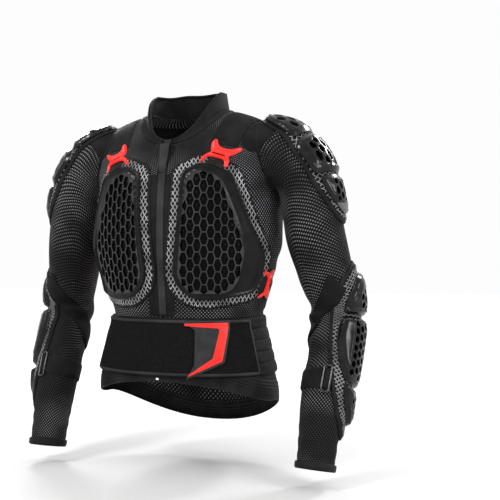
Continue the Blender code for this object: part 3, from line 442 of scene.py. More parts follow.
def knit_finish(name, dark, light, pitch, depth, roughness=0.75, specular=0.08):
    """Close knit or tape: small ribs across and along, with the shade wandering a little."""
    material = finish(name, roughness, Specular_IOR_Level=specular)
    across, along = cloth_place(material, pitch)
    weave = math_of(material, "MULTIPLY", across, along)
    raised(material, step_up(material, weave, -0.8, 0.8), depth)
    tinted(material, step_up(material, soft_noise(material, 30.0, 5.0), 0.3, 0.7), dark, light)
    return material


smooth_knit = knit_finish("smooth_knit", (0.004, 0.004, 0.0044), (0.010, 0.010, 0.0106),
                          (0.0011, 0.0011), 0.0002)
binding_tape = knit_finish("binding_tape", (0.005, 0.005, 0.0054), (0.012, 0.012, 0.0126),
                           (0.0016, 0.0009), 0.0002, 0.6)

sleeve_angles = np.arange(SLEEVE_COLUMNS) * 2 * pi / SLEEVE_COLUMNS
body_tree = tree_from(smooth_body, grid_faces(BODY_ROWS, BODY_COLUMNS, True))


def depth_in_body(point):
    """How far a point is outside the body, negative inside it."""
    spot, normal, *_ = body_tree.find_nearest(point)
    away = Vector(point) - spot
    outward = Vector((spot.x, spot.y, 0.0))
    if normal.dot(outward) < 0:
        normal = -normal
    return away.dot(normal)


def armhole_shares():
    """Where the sleeve comes out of the body, as a share of its length, at each angle round it."""
    steps = np.linspace(0.0, 0.34, 50)
    lines = arm_point(steps[:, None], sleeve_angles)
    shares = []
    for column in range(SLEEVE_COLUMNS):
        depths = [depth_in_body(point) for point in lines[:, column].tolist()]
        inside = [index for index, depth in enumerate(depths[:-1]) if depth < 0]
        if not inside:
            shares.append(0.0)
            continue
        last = inside[-1]
        part = depths[last] / (depths[last] - depths[last + 1])
        shares.append(steps[last] + part * (steps[last + 1] - steps[last]))
    return eased(np.array(shares), 3)


starts = np.maximum(armhole_shares() - SLEEVE_TUCK, 0)
down_sleeve = np.linspace(0, 1, SLEEVE_ROWS)[:, None]
sleeve_shares = starts + (1 - starts) * down_sleeve
sink = sleeve_folds(sleeve_shares, sleeve_angles) * np.clip(down_sleeve * 12, 0, 1)
sleeve_points = arm_point(sleeve_shares, sleeve_angles, -sink)
for name, side in SIDES:
    sleeve = knit_grid(name + "_sleeve_mesh", mirrored(sleeve_points, side),
                       (2 * pi * SLEEVE_RADIUS * 0.8, ARM_LENGTH), True, [stretch_mesh],
                       flip=side > 0)
    dress(walled(sleeve, CLOTH), "mesh", name + "_sleeve")
    rims = []
    for behind in PIPING_ROWS:
        line = arm_point(starts + behind / ARM_LENGTH + 0.002, sleeve_angles, PIPING_RADIUS * 0.6)
        away = unit(line - arm_frame(starts)[0])
        rims.append((mirrored(line, side), mirrored(away, side)))
    piping = tube_set(name + "_armhole_piping", rims, PIPING_RADIUS, PIPING_RADIUS, 8, True,
                      binding_tape)
    dress(piping, "smooth_fabric")

# The body's faces that lie inside a sleeve are cut away.
axis_points, axis_radii, *_ = arm_frame(np.linspace(0, 1, 120))
on_left = body_points.reshape(-1, 3).copy()
on_left[:, 0] = np.abs(on_left[:, 0])
gaps = np.linalg.norm(on_left[:, None] - axis_points[None], axis=-1)
nearest = gaps.argmin(1)
within_sleeve = (gaps.min(1) < axis_radii[nearest] - ARMHOLE_OVERLAP) & (nearest > 0)
body = knit_grid("mesh_body_cloth", body_points, BODY_CUT, True, [stretch_mesh],
                 keep=~within_sleeve, flip=True)
dress(walled(body, CLOTH), "mesh", "mesh_body")

# Collar.
# The stand collar is a folded band of smooth knit, open in a V at the front, with a bound edge. Its
# foot spreads over the shoulders, and pale mesh lines the neck behind it.
COLLAR_BACK_HEIGHT = 0.038
COLLAR_CLOTH = 0.0028
COLLAR_GAP = radians(6)
COLLAR_LEAN = 0.16
COLLAR_FOOT = 0.45
COLLAR_CUT = (0.42, 0.038)
COLLAR_COLUMNS = 150
RIM_STEPS = 12
LINING_TURN = (radians(88), radians(272))
LINING_DEPTH = (0.03, 1.15)
LINING_GAP = 0.0042
LINING_COLUMNS = 80


def collar_point(share, angle):
    """Points of the collar's outside: share of its height, angle from the front."""
    share, angle = np.broadcast_arrays(np.asarray(share, float), np.asarray(angle, float))
    base = torso_point(NECK_ROW + np.minimum(share, 0), angle)
    forward, backward = np.clip(np.cos(angle), 0, 1), np.clip(-np.cos(angle), 0, 1)
    height = 1 - 0.84 * forward**1.3 + 0.16 * backward - 0.10 * np.sin(angle) ** 4
    rise = COLLAR_BACK_HEIGHT * height * np.maximum(share, 0)
    inward = -unit(base * np.array([1, 1, 0])) * (rise * COLLAR_LEAN)[..., None]
    ripple = 0.0012 * np.sin(7 * angle + 1) * np.maximum(share, 0)
    up = np.zeros_like(base)
    up[..., 2] = rise + 0.0012 + 0.4 * ripple
    return base + inward + up - unit(base * np.array([1, 1, 0])) * ripple[..., None]


collar_angles = np.linspace(COLLAR_GAP, 2 * pi - COLLAR_GAP, COLLAR_COLUMNS)
collar_shares = np.concatenate([np.linspace(-COLLAR_FOOT, 0, 7)[:-1], np.linspace(0, 1, 14)])[:, None]
collar = knit_grid("stand_collar_knit", collar_point(collar_shares, collar_angles), COLLAR_CUT,
                   False, [smooth_knit], flip=True)
dress(walled(collar, COLLAR_CLOTH), "smooth_fabric", "stand_collar")
rim_shares = np.concatenate([np.linspace(0, 1, RIM_STEPS)[:-1], np.ones(COLLAR_COLUMNS - 2),
                             np.linspace(1, 0, RIM_STEPS)[1:]])
rim_angles = np.concatenate([np.full(RIM_STEPS - 1, COLLAR_GAP), collar_angles[1:-1],
                             np.full(RIM_STEPS - 1, 2 * pi - COLLAR_GAP)])
collar_rim = collar_point(rim_shares, rim_angles)
rim_out = unit(collar_rim * np.array([1, 1, 0]))
seam = collar_point(np.full(COLLAR_COLUMNS, -COLLAR_FOOT), collar_angles)
collar_piping = tube_set("collar_bound_edge",
                         [(collar_rim - rim_out * COLLAR_CLOTH / 2, rim_out)],
                         0.0019, COLLAR_CLOTH * 0.62, 10, False, binding_tape)
collar_seam = tube_set("collar_seam", [(seam, unit(seam * np.array([1, 1, 0])))], 0.0012, 0.0009, 8,
                       False, binding_tape)
dress(collar_piping, "smooth_fabric")
dress(collar_seam, "smooth_fabric")
# The lining's pale stripes are partly its own colour and partly painted light, brightened to make up
# for the shade behind the collar.
neck_mesh = mesh_finish("neck_lining_mesh", (0.010, 0.010, 0.0105), (0.750, 0.750, 0.760),
                        (0.0034, 0.0060))
lining_angles = np.linspace(*LINING_TURN, LINING_COLUMNS)
lining_places = np.linspace(NECK_ROW - LINING_DEPTH[0], NECK_ROW - LINING_DEPTH[1], 14)[:, None]
lining_points = torso_point(lining_places, lining_angles)
lining_in = np.stack([np.sin(lining_angles), -np.cos(lining_angles),
                      np.zeros(LINING_COLUMNS)], -1) * LINING_GAP
lining = knit_grid("neck_lining", lining_points - lining_in, (0.30, 0.045), False, [neck_mesh])
dress(walled(lining, 0.0010), "mesh")

# Hem band.
# The hem is closed by a smooth elastic band, sewn to the mesh and gathered along eight rows of
# stitching.
HEM_THICKNESS = 0.0026
HEM_ROWS = 8
HEM_TOP = BAND_ROW + 0.06
HEM_CUT = (1.0, 0.034)


def band_surface(places, offsets, surface):
    """A band round the body: its rows at places along a surface, each with its own offset."""
    return np.stack([surface(np.full(BODY_COLUMNS, place), body_angles, offset)
                     for place, offset in zip(places, offsets)])


def torso_offset(place, angle, offset):
    """Points at a distance outside the body."""
    outward = np.stack([np.sin(angle) * CHEST_FRONT_DEPTH, -np.cos(angle) * CHEST_HALF_WIDTH,
                        np.zeros_like(angle)], -1)
    return torso_point(place, angle) + unit(outward) * np.asarray(offset)[..., None]


hem_share = np.linspace(0, 1, 49)
hem_edge = np.clip(1 - (np.abs(hem_share * 2 - 1)) ** 24, 0, 1)
hem_wave = 0.5 - 0.5 * np.cos(2 * pi * hem_share * HEM_ROWS)
hem_offsets = -CLOTH + HEM_THICKNESS * (0.55 + 0.45 * hem_wave**0.6) * (0.3 + 0.7 * hem_edge)
hem_points = band_surface(hem_share * HEM_TOP, hem_offsets, torso_offset)
hem = knit_grid("hem_band_elastic", hem_points, HEM_CUT, True, [binding_tape], flip=True)
dress(walled(hem, HEM_THICKNESS * 0.6), "smooth_fabric", "hem_band")

# Cuffs.
# Each sleeve ends in a rolled binding of ribbed tape, sewn over the edge of the mesh.
CUFF_HEIGHT = 0.012
CUFF_THICKNESS = 0.0035
CUFF_CUT = (0.2, 0.03)
cuff_turns = np.linspace(0, 2 * pi, 15)[:-1]
cuff_shares = 1 - (0.5 + 0.5 * np.cos(cuff_turns)) * CUFF_HEIGHT / ARM_LENGTH
cuff_offsets = 0.0004 + CUFF_THICKNESS * (0.42 + 0.5 * np.sin(cuff_turns))
for name, side in SIDES:
    rings = np.stack([arm_point(share, sleeve_angles, offset)
                      for share, offset in zip(cuff_shares, cuff_offsets)])
    rings = np.concatenate([rings, rings[:1]])
    cuff = knit_grid(name + "_cuff_roll", mirrored(rings, side), CUFF_CUT, True, [binding_tape],
                     flip=side < 0)
    dress(cuff, "smooth_fabric", name + "_cuff")

# Kidney belt.
# A wide elastic belt goes all round the waist, with four channels sewn along it. Its front is a
# panel of deep black loop cloth, bound with tape, that closes over the wearer's right side.
BELT_TOP = 0.6406 * BODY_LENGTH
BELT_HEIGHT = 0.1664 * BODY_LENGTH
BELT_THICKNESS = 0.003
BELT_EASE = 0.0020
BELT_CHANNELS = 4
CHANNEL_DEPTH = 0.0021
BELT_PANEL_THICKNESS = 0.0025
BELT_MARGIN = 0.002
BELT_FRONT_TURN = (-1.65, 1.27)

elastic = knit_finish("belt_elastic", (0.0035, 0.0035, 0.0038), (0.010, 0.010, 0.0106),
                      (0.0022, 0.0008), 0.0003, 0.7)
loop_cloth = finish("loop_cloth", 0.95, Specular_IOR_Level=0.02)
loop_grain = soft_noise(loop_cloth, 900.0, 2.0)
tinted(loop_cloth, step_up(loop_cloth, loop_grain, 0.35, 0.75), (0.003, 0.003, 0.0032),
       (0.013, 0.013, 0.0135))
raised(loop_cloth, loop_grain, 0.0006)

fine_rows = np.linspace(0, NECK_ROW, 400)[:, None]
drop_table = -torso_point(fine_rows, body_angles)[..., 2]


def place_at_drop(drop, angle):
    """The row place where the body's surface is at a drop below the neck."""
    column = np.round(np.mod(angle, 2 * pi) / (2 * pi) * BODY_COLUMNS).astype(int) % BODY_COLUMNS
    return np.array([np.interp(-drop, -drop_table[:, index], fine_rows[:, 0])
                     for index in column])


def belt_surface(drop, angle, offset):
    """Points outside the body at a drop below the neck."""
    return torso_offset(place_at_drop(drop[0], angle), angle, offset)


belt_share = np.linspace(0, 1, 56)
belt_wave = np.abs(np.cos(pi * belt_share * (BELT_CHANNELS + 1) + pi / 2)) ** 0.35
belt_inner = HEM_THICKNESS - CLOTH + BELT_EASE
belt_edge = np.clip(np.minimum(belt_share, 1 - belt_share) * BELT_HEIGHT / 0.004, 0, 1)
belt_relief = np.where((belt_share > 0.12) & (belt_share < 0.88), belt_wave, 1.0)
belt_offsets = belt_inner + BELT_THICKNESS * (0.35 + 0.65 * np.sqrt(belt_edge)) - CHANNEL_DEPTH * (
    1 - belt_relief)
belt_drops = BELT_TOP + BELT_HEIGHT * (1 - belt_share)
belt_points = band_surface(belt_drops, belt_offsets, belt_surface)
belt_points[..., 2] += 0.0006 * np.sin(belt_share * 40)[:, None] * np.sin(9 * body_angles)
belt = knit_grid("kidney_belt_elastic", belt_points, (1.0, BELT_HEIGHT), True, [elastic], flip=True)
dress(walled(belt, 0.0012), "webbing", "kidney_belt")

# Flat patterns are laid over the body: a chart turns their points into lines towards it.
BODY_REACH = 0.5
SLEEVE_REACH = 0.3
CHEST_TURN = radians(25)
SHOULDER_LINE_DROP = 0.140 * BODY_LENGTH + CHEST_FRONT_DEPTH * 0.2
MISSED_DEPTH = 0.35
LINE_SHARE = 0.4


def front_chart(flat):
    """The body seen straight from the front."""
    origins = np.stack([flat[:, 0], np.full(len(flat), -BODY_REACH), flat[:, 1]], -1)
    return origins, np.broadcast_to([0.0, 1.0, 0.0], origins.shape)


def back_chart(flat):
    """The body seen straight from behind."""
    origins = np.stack([flat[:, 0], np.full(len(flat), BODY_REACH), flat[:, 1]], -1)
    return origins, np.broadcast_to([0.0, -1.0, 0.0], origins.shape)


def chest_chart(side):
    """The chest seen from the front and a quarter to its own side."""
    direction = np.array([-sin(CHEST_TURN) * side, cos(CHEST_TURN), 0.0])

    def chart(flat):
        u, v = flat[:, 0], flat[:, 1]
        middle = np.stack([cos(CHEST_TURN) * u * side, sin(CHEST_TURN) * u, v], -1)
        return middle - direction * BODY_REACH, np.broadcast_to(direction, middle.shape)

    return chart


def waist_chart(side):
    """Wound round the waist from the front towards the side."""
    def chart(flat):
        angle = flat[:, 0] / CHEST_HALF_WIDTH
        outward = np.stack([np.sin(angle) * side, -np.cos(angle), np.zeros(len(flat))], -1)
        origins = outward * BODY_REACH
        origins[:, 2] = flat[:, 1]
        return origins, -outward

    return chart


def shoulder_chart(side):
    """Over the shoulder: the distance out, and round from the top to the back."""
    def chart(flat):
        angle = flat[:, 1] / CHEST_FRONT_DEPTH
        outward = np.stack([np.zeros(len(flat)), np.sin(angle), np.cos(angle)], -1)
        middle = np.stack([flat[:, 0] * side, np.zeros(len(flat)),
                           np.full(len(flat), -SHOULDER_LINE_DROP)], -1)
        return middle + outward * BODY_REACH, -outward

    return chart


def sleeve_chart(side):
    """Along the sleeve, and round it from the outer side to the back."""
    def chart(flat):
        centre, _, outer, back = arm_frame(flat[:, 0] / ARM_LENGTH)
        angle = flat[:, 1] / SLEEVE_RADIUS
        outward = outer * np.cos(angle)[:, None] + back * np.sin(angle)[:, None]
        return mirrored(centre + outward * SLEEVE_REACH, side), mirrored(-outward, side)

    return chart


def even_outline(points, spacing):
    """A closed outline in even steps."""
    closed = np.concatenate([points, points[:1]])
    lengths = lengths_along(closed)
    count = max(6, int(round(lengths[-1] / spacing)))
    at = np.arange(count) / count * lengths[-1]
    return np.stack([np.interp(at, lengths, closed[:, axis]) for axis in (0, 1)], -1)


def rounded_outline(corners, radius, spacing):
    """An outline with its corners rounded off."""
    corners = np.array(corners, float)
    points = []
    for before, here, after in zip(np.roll(corners, 1, 0), corners, np.roll(corners, -1, 0)):
        start = here + (before - here) * min(radius / np.linalg.norm(before - here), 0.48)
        stop = here + (after - here) * min(radius / np.linalg.norm(after - here), 0.48)
        for part in np.linspace(0, 1, 7):
            points.append((1 - part) ** 2 * start + 2 * part * (1 - part) * here + part**2 * stop)
    return even_outline(np.array(points), spacing)


def grown(outline, distance):
    """An outline moved outward, or inward by a distance below 0."""
    outline = np.array(outline, float)
    after = np.roll(outline, -1, 0)
    turn = np.sign((outline[:, 0] * after[:, 1] - after[:, 0] * outline[:, 1]).sum())
    run = unit(after - outline)
    both = run + np.roll(run, 1, 0)
    normal = np.stack([both[:, 1], -both[:, 0]], -1) * turn
    size = np.maximum(np.linalg.norm(normal, axis=1, keepdims=True), 1e-9)
    return outline + normal / size * distance / np.maximum(0.5, size / 2)


def within(points, outline):
    """Which flat points lie inside a closed outline."""
    x, y = points[:, 0, None], points[:, 1, None]
    a, b = outline, np.roll(outline, -1, 0)
    crosses = (a[:, 1] > y) != (b[:, 1] > y)
    rise = np.where(b[:, 1] == a[:, 1], 1e-12, b[:, 1] - a[:, 1])
    return ((x < a[:, 0] + (y - a[:, 1]) / rise * (b[:, 0] - a[:, 0])) & crosses).sum(1) % 2 == 1


def edge_gap(points, outline):
    """The distance from flat points to an outline."""
    run = np.roll(outline, -1, 0) - outline
    away = points[:, None] - outline[None]
    share = np.clip((away * run).sum(-1) / np.maximum((run**2).sum(-1), 1e-12), 0, 1)
    return np.linalg.norm(away - share[..., None] * run, axis=-1).min(1)


def cut_pattern(outline, holes, spacing):
    """Flat points and triangles that fill an outline round its holes."""
    low, high = outline.min(0), outline.max(0)
    columns = np.arange(low[0] + spacing / 2, high[0], spacing)
    rows = np.arange(low[1] + spacing / 2, high[1], spacing * 0.87)
    grid = np.stack(np.meshgrid(columns, rows), -1)
    grid[1::2, :, 0] += spacing / 2
    grid = grid.reshape(-1, 2)
    keep = within(grid, outline)
    grid = grid[keep]
    grid = grid[edge_gap(grid, outline) > spacing * 0.55]
    keep = np.ones(len(grid), bool)
    for hole in holes:
        near = ((grid > hole.min(0) - spacing) & (grid < hole.max(0) + spacing)).all(1)
        some = grid[near]
        if len(some):
            keep[near] &= ~within(some, hole) & (edge_gap(some, hole) > spacing * 0.4)
    loops = [outline, *holes]
    edges, first = [], 0
    for loop in loops:
        ids = np.arange(len(loop)) + first
        edges += list(zip(ids.tolist(), np.roll(ids, -1).tolist()))
        first += len(loop)
    points = np.concatenate([*loops, grid[keep]])
    corners, _, triangles, *_ = delaunay_2d_cdt([Vector(p) for p in points.tolist()], edges, [], 0,
                                                1e-7)
    corners, triangles = np.array([tuple(c) for c in corners]), np.array(triangles)
    middles = corners[triangles].mean(1)
    keep = within(middles, outline)
    for hole in holes:
        near = ((middles > hole.min(0)) & (middles < hole.max(0))).all(1)
        some = middles[near]
        if len(some):
            keep[near] &= ~within(some, hole)
    triangles = triangles[keep]
    a, b, c = (corners[triangles[:, k]] for k in range(3))
    turned = (b[:, 0] - a[:, 0]) * (c[:, 1] - a[:, 1]) < (b[:, 1] - a[:, 1]) * (c[:, 0] - a[:, 0])
    triangles[turned] = triangles[turned][:, ::-1]
    return corners, triangles


def cast(skin, origins, directions):
    """Where lines meet a surface, and its directions there, facing back along them."""
    spots, normals = [], []
    for origin, direction in zip(origins.tolist(), directions.tolist()):
        spot, normal, *_ = skin.ray_cast(origin, direction)
        if spot is None:
            spot, normal, *_ = skin.find_nearest(Vector(origin) + Vector(direction) * MISSED_DEPTH)
        if normal.dot(direction) > 0:
            normal = -normal
        spots.append(tuple(spot))
        normals.append(tuple(normal))
    return np.array(spots), unit(np.array(normals) - np.array(directions) * LINE_SHARE)


def spread_over(values, pairs, rounds, highest=False):
    """Values averaged with their neighbours', or raised to the highest of them."""
    for _ in range(rounds):
        if highest:
            fresh = values.copy()
            np.maximum.at(fresh, pairs[:, 0], values[pairs[:, 1]])
            np.maximum.at(fresh, pairs[:, 1], values[pairs[:, 0]])
            values = fresh
        else:
            total, count = values.copy(), np.ones(len(values))
            for a, b in ((0, 1), (1, 0)):
                np.add.at(total, pairs[:, a], values[pairs[:, b]])
                np.add.at(count, pairs[:, a], 1)
            values = total / (count if values.ndim == 1 else count[:, None])
    return values


def heights_over(below, spots, normals):
    """How high the finished pieces stand over a surface, along its directions."""
    high = 0.05
    heights = np.zeros(len(spots))
    for tree in below:
        starts_above = (spots + normals * high).tolist()
        for index, (start, down) in enumerate(zip(starts_above, (-normals).tolist())):
            distance = tree.ray_cast(start, down, high)[3]
            if distance is not None:
                heights[index] = max(heights[index], high - distance)
    return heights


surfaces = {}


def laid(name, chart, skin, below, outline, thickness, materials, holes=(), spacing=0.003,
         rim=0.0006, relief=None, gap=0.0006, picks=None, settle=8):
    """A piece cut to a flat outline and laid over what carries it, its rims rounded.

    relief gives its thickness from its flat points and their distance to its edge.
    """
    outline = np.asarray(outline, float)
    holes = [np.asarray(hole, float) for hole in holes]
    flat, faces = cut_pattern(outline, holes, spacing)
    spots, normals = cast(skin, *chart(flat))
    directed = np.concatenate([faces[:, [0, 1]], faces[:, [1, 2]], faces[:, [2, 0]]])
    pairs = np.unique(np.sort(directed, axis=1), axis=0)
    normals = unit(spread_over(normals, pairs, 6))
    standing = heights_over([surfaces[key] for key in below], spots, normals)
    seat = spread_over(standing, pairs, 2, highest=True)
    seat = np.maximum(spread_over(seat, pairs, settle), standing) + gap
    tall = np.full(len(flat), thickness) if relief is None else relief(flat, edge_gap(flat, outline))
    known = {tuple(pair) for pair in directed.tolist()}
    border = np.array([pair for pair in directed.tolist() if (pair[1], pair[0]) not in known])
    out = np.zeros_like(flat)
    run = unit(flat[border[:, 1]] - flat[border[:, 0]])
    aside = np.stack([run[:, 1], -run[:, 0]], -1)
    np.add.at(out, border[:, 0], aside)
    np.add.at(out, border[:, 1], aside)
    edge_ids = np.unique(border)
    size = np.linalg.norm(out[edge_ids], axis=1, keepdims=True)
    out = out[edge_ids] / size / np.maximum(0.5, size / 2) * rim
    far, _ = cast(skin, *chart(flat[edge_ids] + out))
    near, up = spots[edge_ids], normals[edge_ids]
    top = (seat + tall)[edge_ids]
    low = np.maximum(seat[edge_ids], top - rim)
    rings = [near + (far - near) * 0.7 + up * (top - (top - low) * 0.3)[:, None],
             far + up * low[:, None], far + up * seat[edge_ids][:, None]]
    count, rim_count = len(flat), len(edge_ids)
    points = np.concatenate([spots + normals * (seat + tall)[:, None],
                             spots + normals * seat[:, None], *rings])
    place = np.full(count, -1)
    place[edge_ids] = np.arange(rim_count)
    a, b = border[:, 0], border[:, 1]
    steps = [(a, b)] + [(2 * count + k * rim_count + place[a], 2 * count + k * rim_count + place[b])
                        for k in range(3)] + [(count + a, count + b)]
    quads = [np.stack([upper[1], upper[0], lower[0], lower[1]], -1)
             for upper, lower in zip(steps, steps[1:])]
    lists = faces.tolist() + (faces[:, ::-1] + count).tolist() + np.concatenate(quads).tolist()
    corner = points[faces]
    facing = (np.cross(corner[:, 1] - corner[:, 0], corner[:, 2] - corner[:, 0])
              * normals[faces[:, 0]]).sum()
    if facing < 0:
        lists = [face[::-1] for face in lists]
    cuts = np.concatenate([flat, flat] + [flat[edge_ids] + out] * 3)
    chosen = None
    if picks is not None:
        chosen = np.zeros(len(lists), int)
        chosen[:len(faces)] = picks(flat[faces].mean(1))
    piece = cloth_object(name, points, lists, cuts, materials, chosen)
    surfaces[name] = tree_from(points, lists)
    return piece


def on_surface(chart, name, flat, lift=0.0):
    """Places over a finished piece, and the directions away from it."""
    spots, normals = cast(surfaces[name], *chart(np.asarray(flat, float)))
    return spots + normals * lift, normals


def stitches(name, chart, carrier, path, length=0.0034, gap=0.0018, radius=0.00028):
    """A row of stitches along a flat path over a finished piece."""
    path = np.asarray(path, float)
    lengths = lengths_along(path)
    runs = []
    for start in np.arange(0.002, lengths[-1] - length, length + gap):
        at = start + np.array([0, 0.15, 0.5, 0.85, 1]) * length
        flat = np.stack([np.interp(at, lengths, path[:, axis]) for axis in (0, 1)], -1)
        line, up = on_surface(chart, carrier, flat)
        line += up * (np.array([-0.3, 0.7, 1.0, 0.7, -0.3]) * radius)[:, None]
        runs.append((line, up))
    return tube_set(name, runs, radius, radius, 5, False, thread)


thread = knit_finish("sewing_thread", (0.03, 0.03, 0.031), (0.07, 0.07, 0.072), (0.0006, 0.0003),
                     0.0001, 0.5)
torso_grid = torso_point(np.linspace(0, NECK_ROW, 160)[:, None], body_angles)


def ring_tree(points):
    """The surface of rings of points, one for each column of the body."""
    return tree_from(points, grid_faces(len(points), BODY_COLUMNS, True))


torso_skin = ring_tree(torso_grid)
surfaces["kidney_belt_elastic"] = ring_tree(belt_points)


def corners_of(left, low, right, high):
    return [(left, low), (right, low), (right, high), (left, high)]


def box_corners(middle, width, height):
    x, y = middle
    return corners_of(x - width / 2, y - height / 2, x + width / 2, y + height / 2)


def soft_edge(full, edge, reach):
    """A relief that is thin along the edge and full a little way in."""
    def relief(flat, gap):
        share = np.clip(gap / reach, 0, 1)
        return edge + (full - edge) * np.sqrt(1 - (1 - share) ** 2)

    return relief


panel_low = -BELT_TOP - BELT_HEIGHT + BELT_MARGIN
panel_high = -BELT_TOP - BELT_MARGIN
panel_start, panel_stop = (turn * CHEST_HALF_WIDTH for turn in BELT_FRONT_TURN)
panel_corners = corners_of(panel_start, panel_low, panel_stop, panel_high)
panel = laid("belt_front_loop", waist_chart(1), torso_skin, ["kidney_belt_elastic"],
             rounded_outline(panel_corners, 0.004, 0.003), BELT_PANEL_THICKNESS, [loop_cloth],
             spacing=0.004, relief=soft_edge(BELT_PANEL_THICKNESS, 0.0012, 0.006))
dress(panel, "smooth_fabric", "belt_front")
TAPE_WIDTH = 0.0048
TAPE_STEPS = 170
TAPE_END_STEPS = 30
tape_runs = []
for level in (panel_low + TAPE_WIDTH * 0.5, panel_high - TAPE_WIDTH * 0.5):
    across = np.linspace(panel_start + 0.002, panel_stop - 0.002, TAPE_STEPS)
    tape_runs.append(on_surface(waist_chart(1), "belt_front_loop",
                                np.stack([across, np.full(TAPE_STEPS, level)], -1), 0.0002))
ends = np.linspace(panel_low + 0.002, panel_high - 0.002, TAPE_END_STEPS)
for end in (panel_stop - TAPE_WIDTH * 0.55, panel_start + TAPE_WIDTH * 0.55):
    tape_runs.append(on_surface(waist_chart(1), "belt_front_loop",
                                np.stack([np.full(TAPE_END_STEPS, end), ends], -1), 0.0004))
grey_tape = knit_finish("grey_binding_tape", (0.016, 0.016, 0.017), (0.030, 0.030, 0.0315),
                        (0.0012, 0.0012), 0.0002, 0.6)
dress(tube_set("belt_binding_tape", tape_runs, TAPE_WIDTH / 2, 0.0007, 8, False, grey_tape),
      "smooth_fabric")

# Belt badge.
# A moulded rubber tab is sewn on the end of the belt's front: dark grey, with a red bar that runs
# along its top, down its outer side and back across it.
BADGE_START = 0.067
BADGE_WIDTH = 0.119
BADGE_THICKNESS = 0.002
BADGE = ((0.00, 0.05), (1.00, 0.03), (0.985, 0.20), (0.82, 0.76), (0.09, 1.04), (0.27, 0.80),
         (0.29, 0.19))
BADGE_BAR = ((0.05, 0.085), (0.955, 0.07), (0.955, 0.16), (0.785, 0.735), (0.14, 0.985),
             (0.15, 0.960), (0.62, 0.69), (0.78, 0.22), (0.76, 0.165), (0.05, 0.115))


def moulded_finish(name, dark, light, roughness, grain=0.00006, **sockets):
    """Moulded plastic or rubber: fine grain, and edges a little paler and duller with wear."""
    material = finish(name, roughness, **sockets)
    worn = joint(material, "NewGeometry", out="Pointiness")
    edges = step_up(material, worn, 0.50, 0.62)
    wander = step_up(material, soft_noise(material, 60.0, 4.0), 0.35, 0.75)
    mask = math_of(material, "MAXIMUM", math_of(material, "MULTIPLY", edges, 0.8),
                   math_of(material, "MULTIPLY", wander, 0.5))
    tinted(material, mask, dark, light)
    rough = math_of(material, "MULTIPLY_ADD", wander, 0.14, roughness - 0.05)
    wire(material, "Roughness", rough)
    raised(material, soft_noise(material, 1400.0, 2.0), grain)
    return material


badge_rubber = moulded_finish("badge_rubber", (0.014, 0.014, 0.015), (0.032, 0.032, 0.034), 0.55,
                              Specular_IOR_Level=0.15)
badge_red = moulded_finish("badge_red", (0.640, 0.014, 0.010), (0.780, 0.030, 0.022), 0.42,
                           Specular_IOR_Level=0.25)


def badge_place(shares):
    """Shares of the badge as lengths in the flat view of the waist."""
    return [(BADGE_START + x * BADGE_WIDTH, -BELT_TOP - y * BELT_HEIGHT) for x, y in shares]


badge = laid("belt_badge_rubber", waist_chart(1), torso_skin,
             ["belt_front_loop", "kidney_belt_elastic"],
             rounded_outline(badge_place(BADGE), 0.004, 0.002), BADGE_THICKNESS, [badge_rubber],
             spacing=0.003, rim=0.0008, gap=0.0009, settle=30)
dress(badge, "badge", "belt_badge")
badge_bar = laid("belt_badge_bar", waist_chart(1), torso_skin, ["belt_badge_rubber"],
                 rounded_outline(badge_place(BADGE_BAR), 0.002, 0.0015), 0.0007, [badge_red],
                 spacing=0.003, rim=0.0004, gap=-0.0002, settle=4)
dress(badge_bar, "badge")

# Zip placket.
# Down the front, on a plain strip of smooth knit, runs a zip under a stitched flap. At the top it
# is open and the flap's end stands away, and its white stop shows at the hem.
PLACKET_WIDTH = 0.021
PLACKET_THICKNESS = 0.002
PLACKET_TOP = 0.135 * BODY_LENGTH
PLACKET_GAP = 0.004
FLAP_WIDTH = 0.012
FLAP_RISE = 0.062
OPEN_LENGTH = 0.040
PLAIN_STRIP_WIDTH = 0.050
placket_bottom = -(BELT_TOP - PLACKET_GAP)
strip_top = -PLACKET_TOP - 0.050
strip = laid("front_plain_strip", front_chart, torso_skin, [],
             rounded_outline(box_corners((0, (placket_bottom + strip_top) / 2), PLAIN_STRIP_WIDTH,
                                         strip_top - placket_bottom), 0.006, 0.004),
             0.0006, [smooth_knit], spacing=0.004, rim=0.0004, gap=0.0012)
dress(strip, "smooth_fabric")
placket = laid("zip_placket_knit", front_chart, torso_skin, [],
               rounded_outline(corners_of(-PLACKET_WIDTH / 2, placket_bottom, PLACKET_WIDTH / 2,
                                          -PLACKET_TOP), 0.002, 0.003),
               PLACKET_THICKNESS, [smooth_knit], spacing=0.003,
               relief=soft_edge(PLACKET_THICKNESS * 0.6, 0.0005, 0.003))
dress(placket, "smooth_fabric", "zip_placket")
# The flap's knit is a paler copy of the smooth knit: painted highlight for the light its face catches.
flap_knit_painted_highlight = knit_finish("flap_knit_painted_highlight", (0.016, 0.016, 0.0168), (0.030, 0.030, 0.0312),
                        (0.0011, 0.0011), 0.0002)
flap_middle = FLAP_WIDTH * 0.12
flap_top = -PLACKET_TOP - 0.045
flap = laid("zip_flap", front_chart, torso_skin, ["zip_placket_knit"],
            rounded_outline(box_corners((flap_middle, (placket_bottom + flap_top) / 2 + 0.001),
                                        FLAP_WIDTH, flap_top - placket_bottom - 0.004), 0.002, 0.003),
            0.0012, [flap_knit_painted_highlight], spacing=0.003, relief=soft_edge(0.0013, 0.0006, 0.003))
dress(flap, "smooth_fabric")
for label, shift in (("inner", -0.36), ("outer", 0.36)):
    seam_line = np.array([(flap_middle + shift * FLAP_WIDTH, placket_bottom + 0.006),
                          (flap_middle + shift * FLAP_WIDTH, flap_top - 0.004)])
    dress(stitches("zip_stitching_" + label, front_chart, "zip_flap", seam_line), "smooth_fabric")

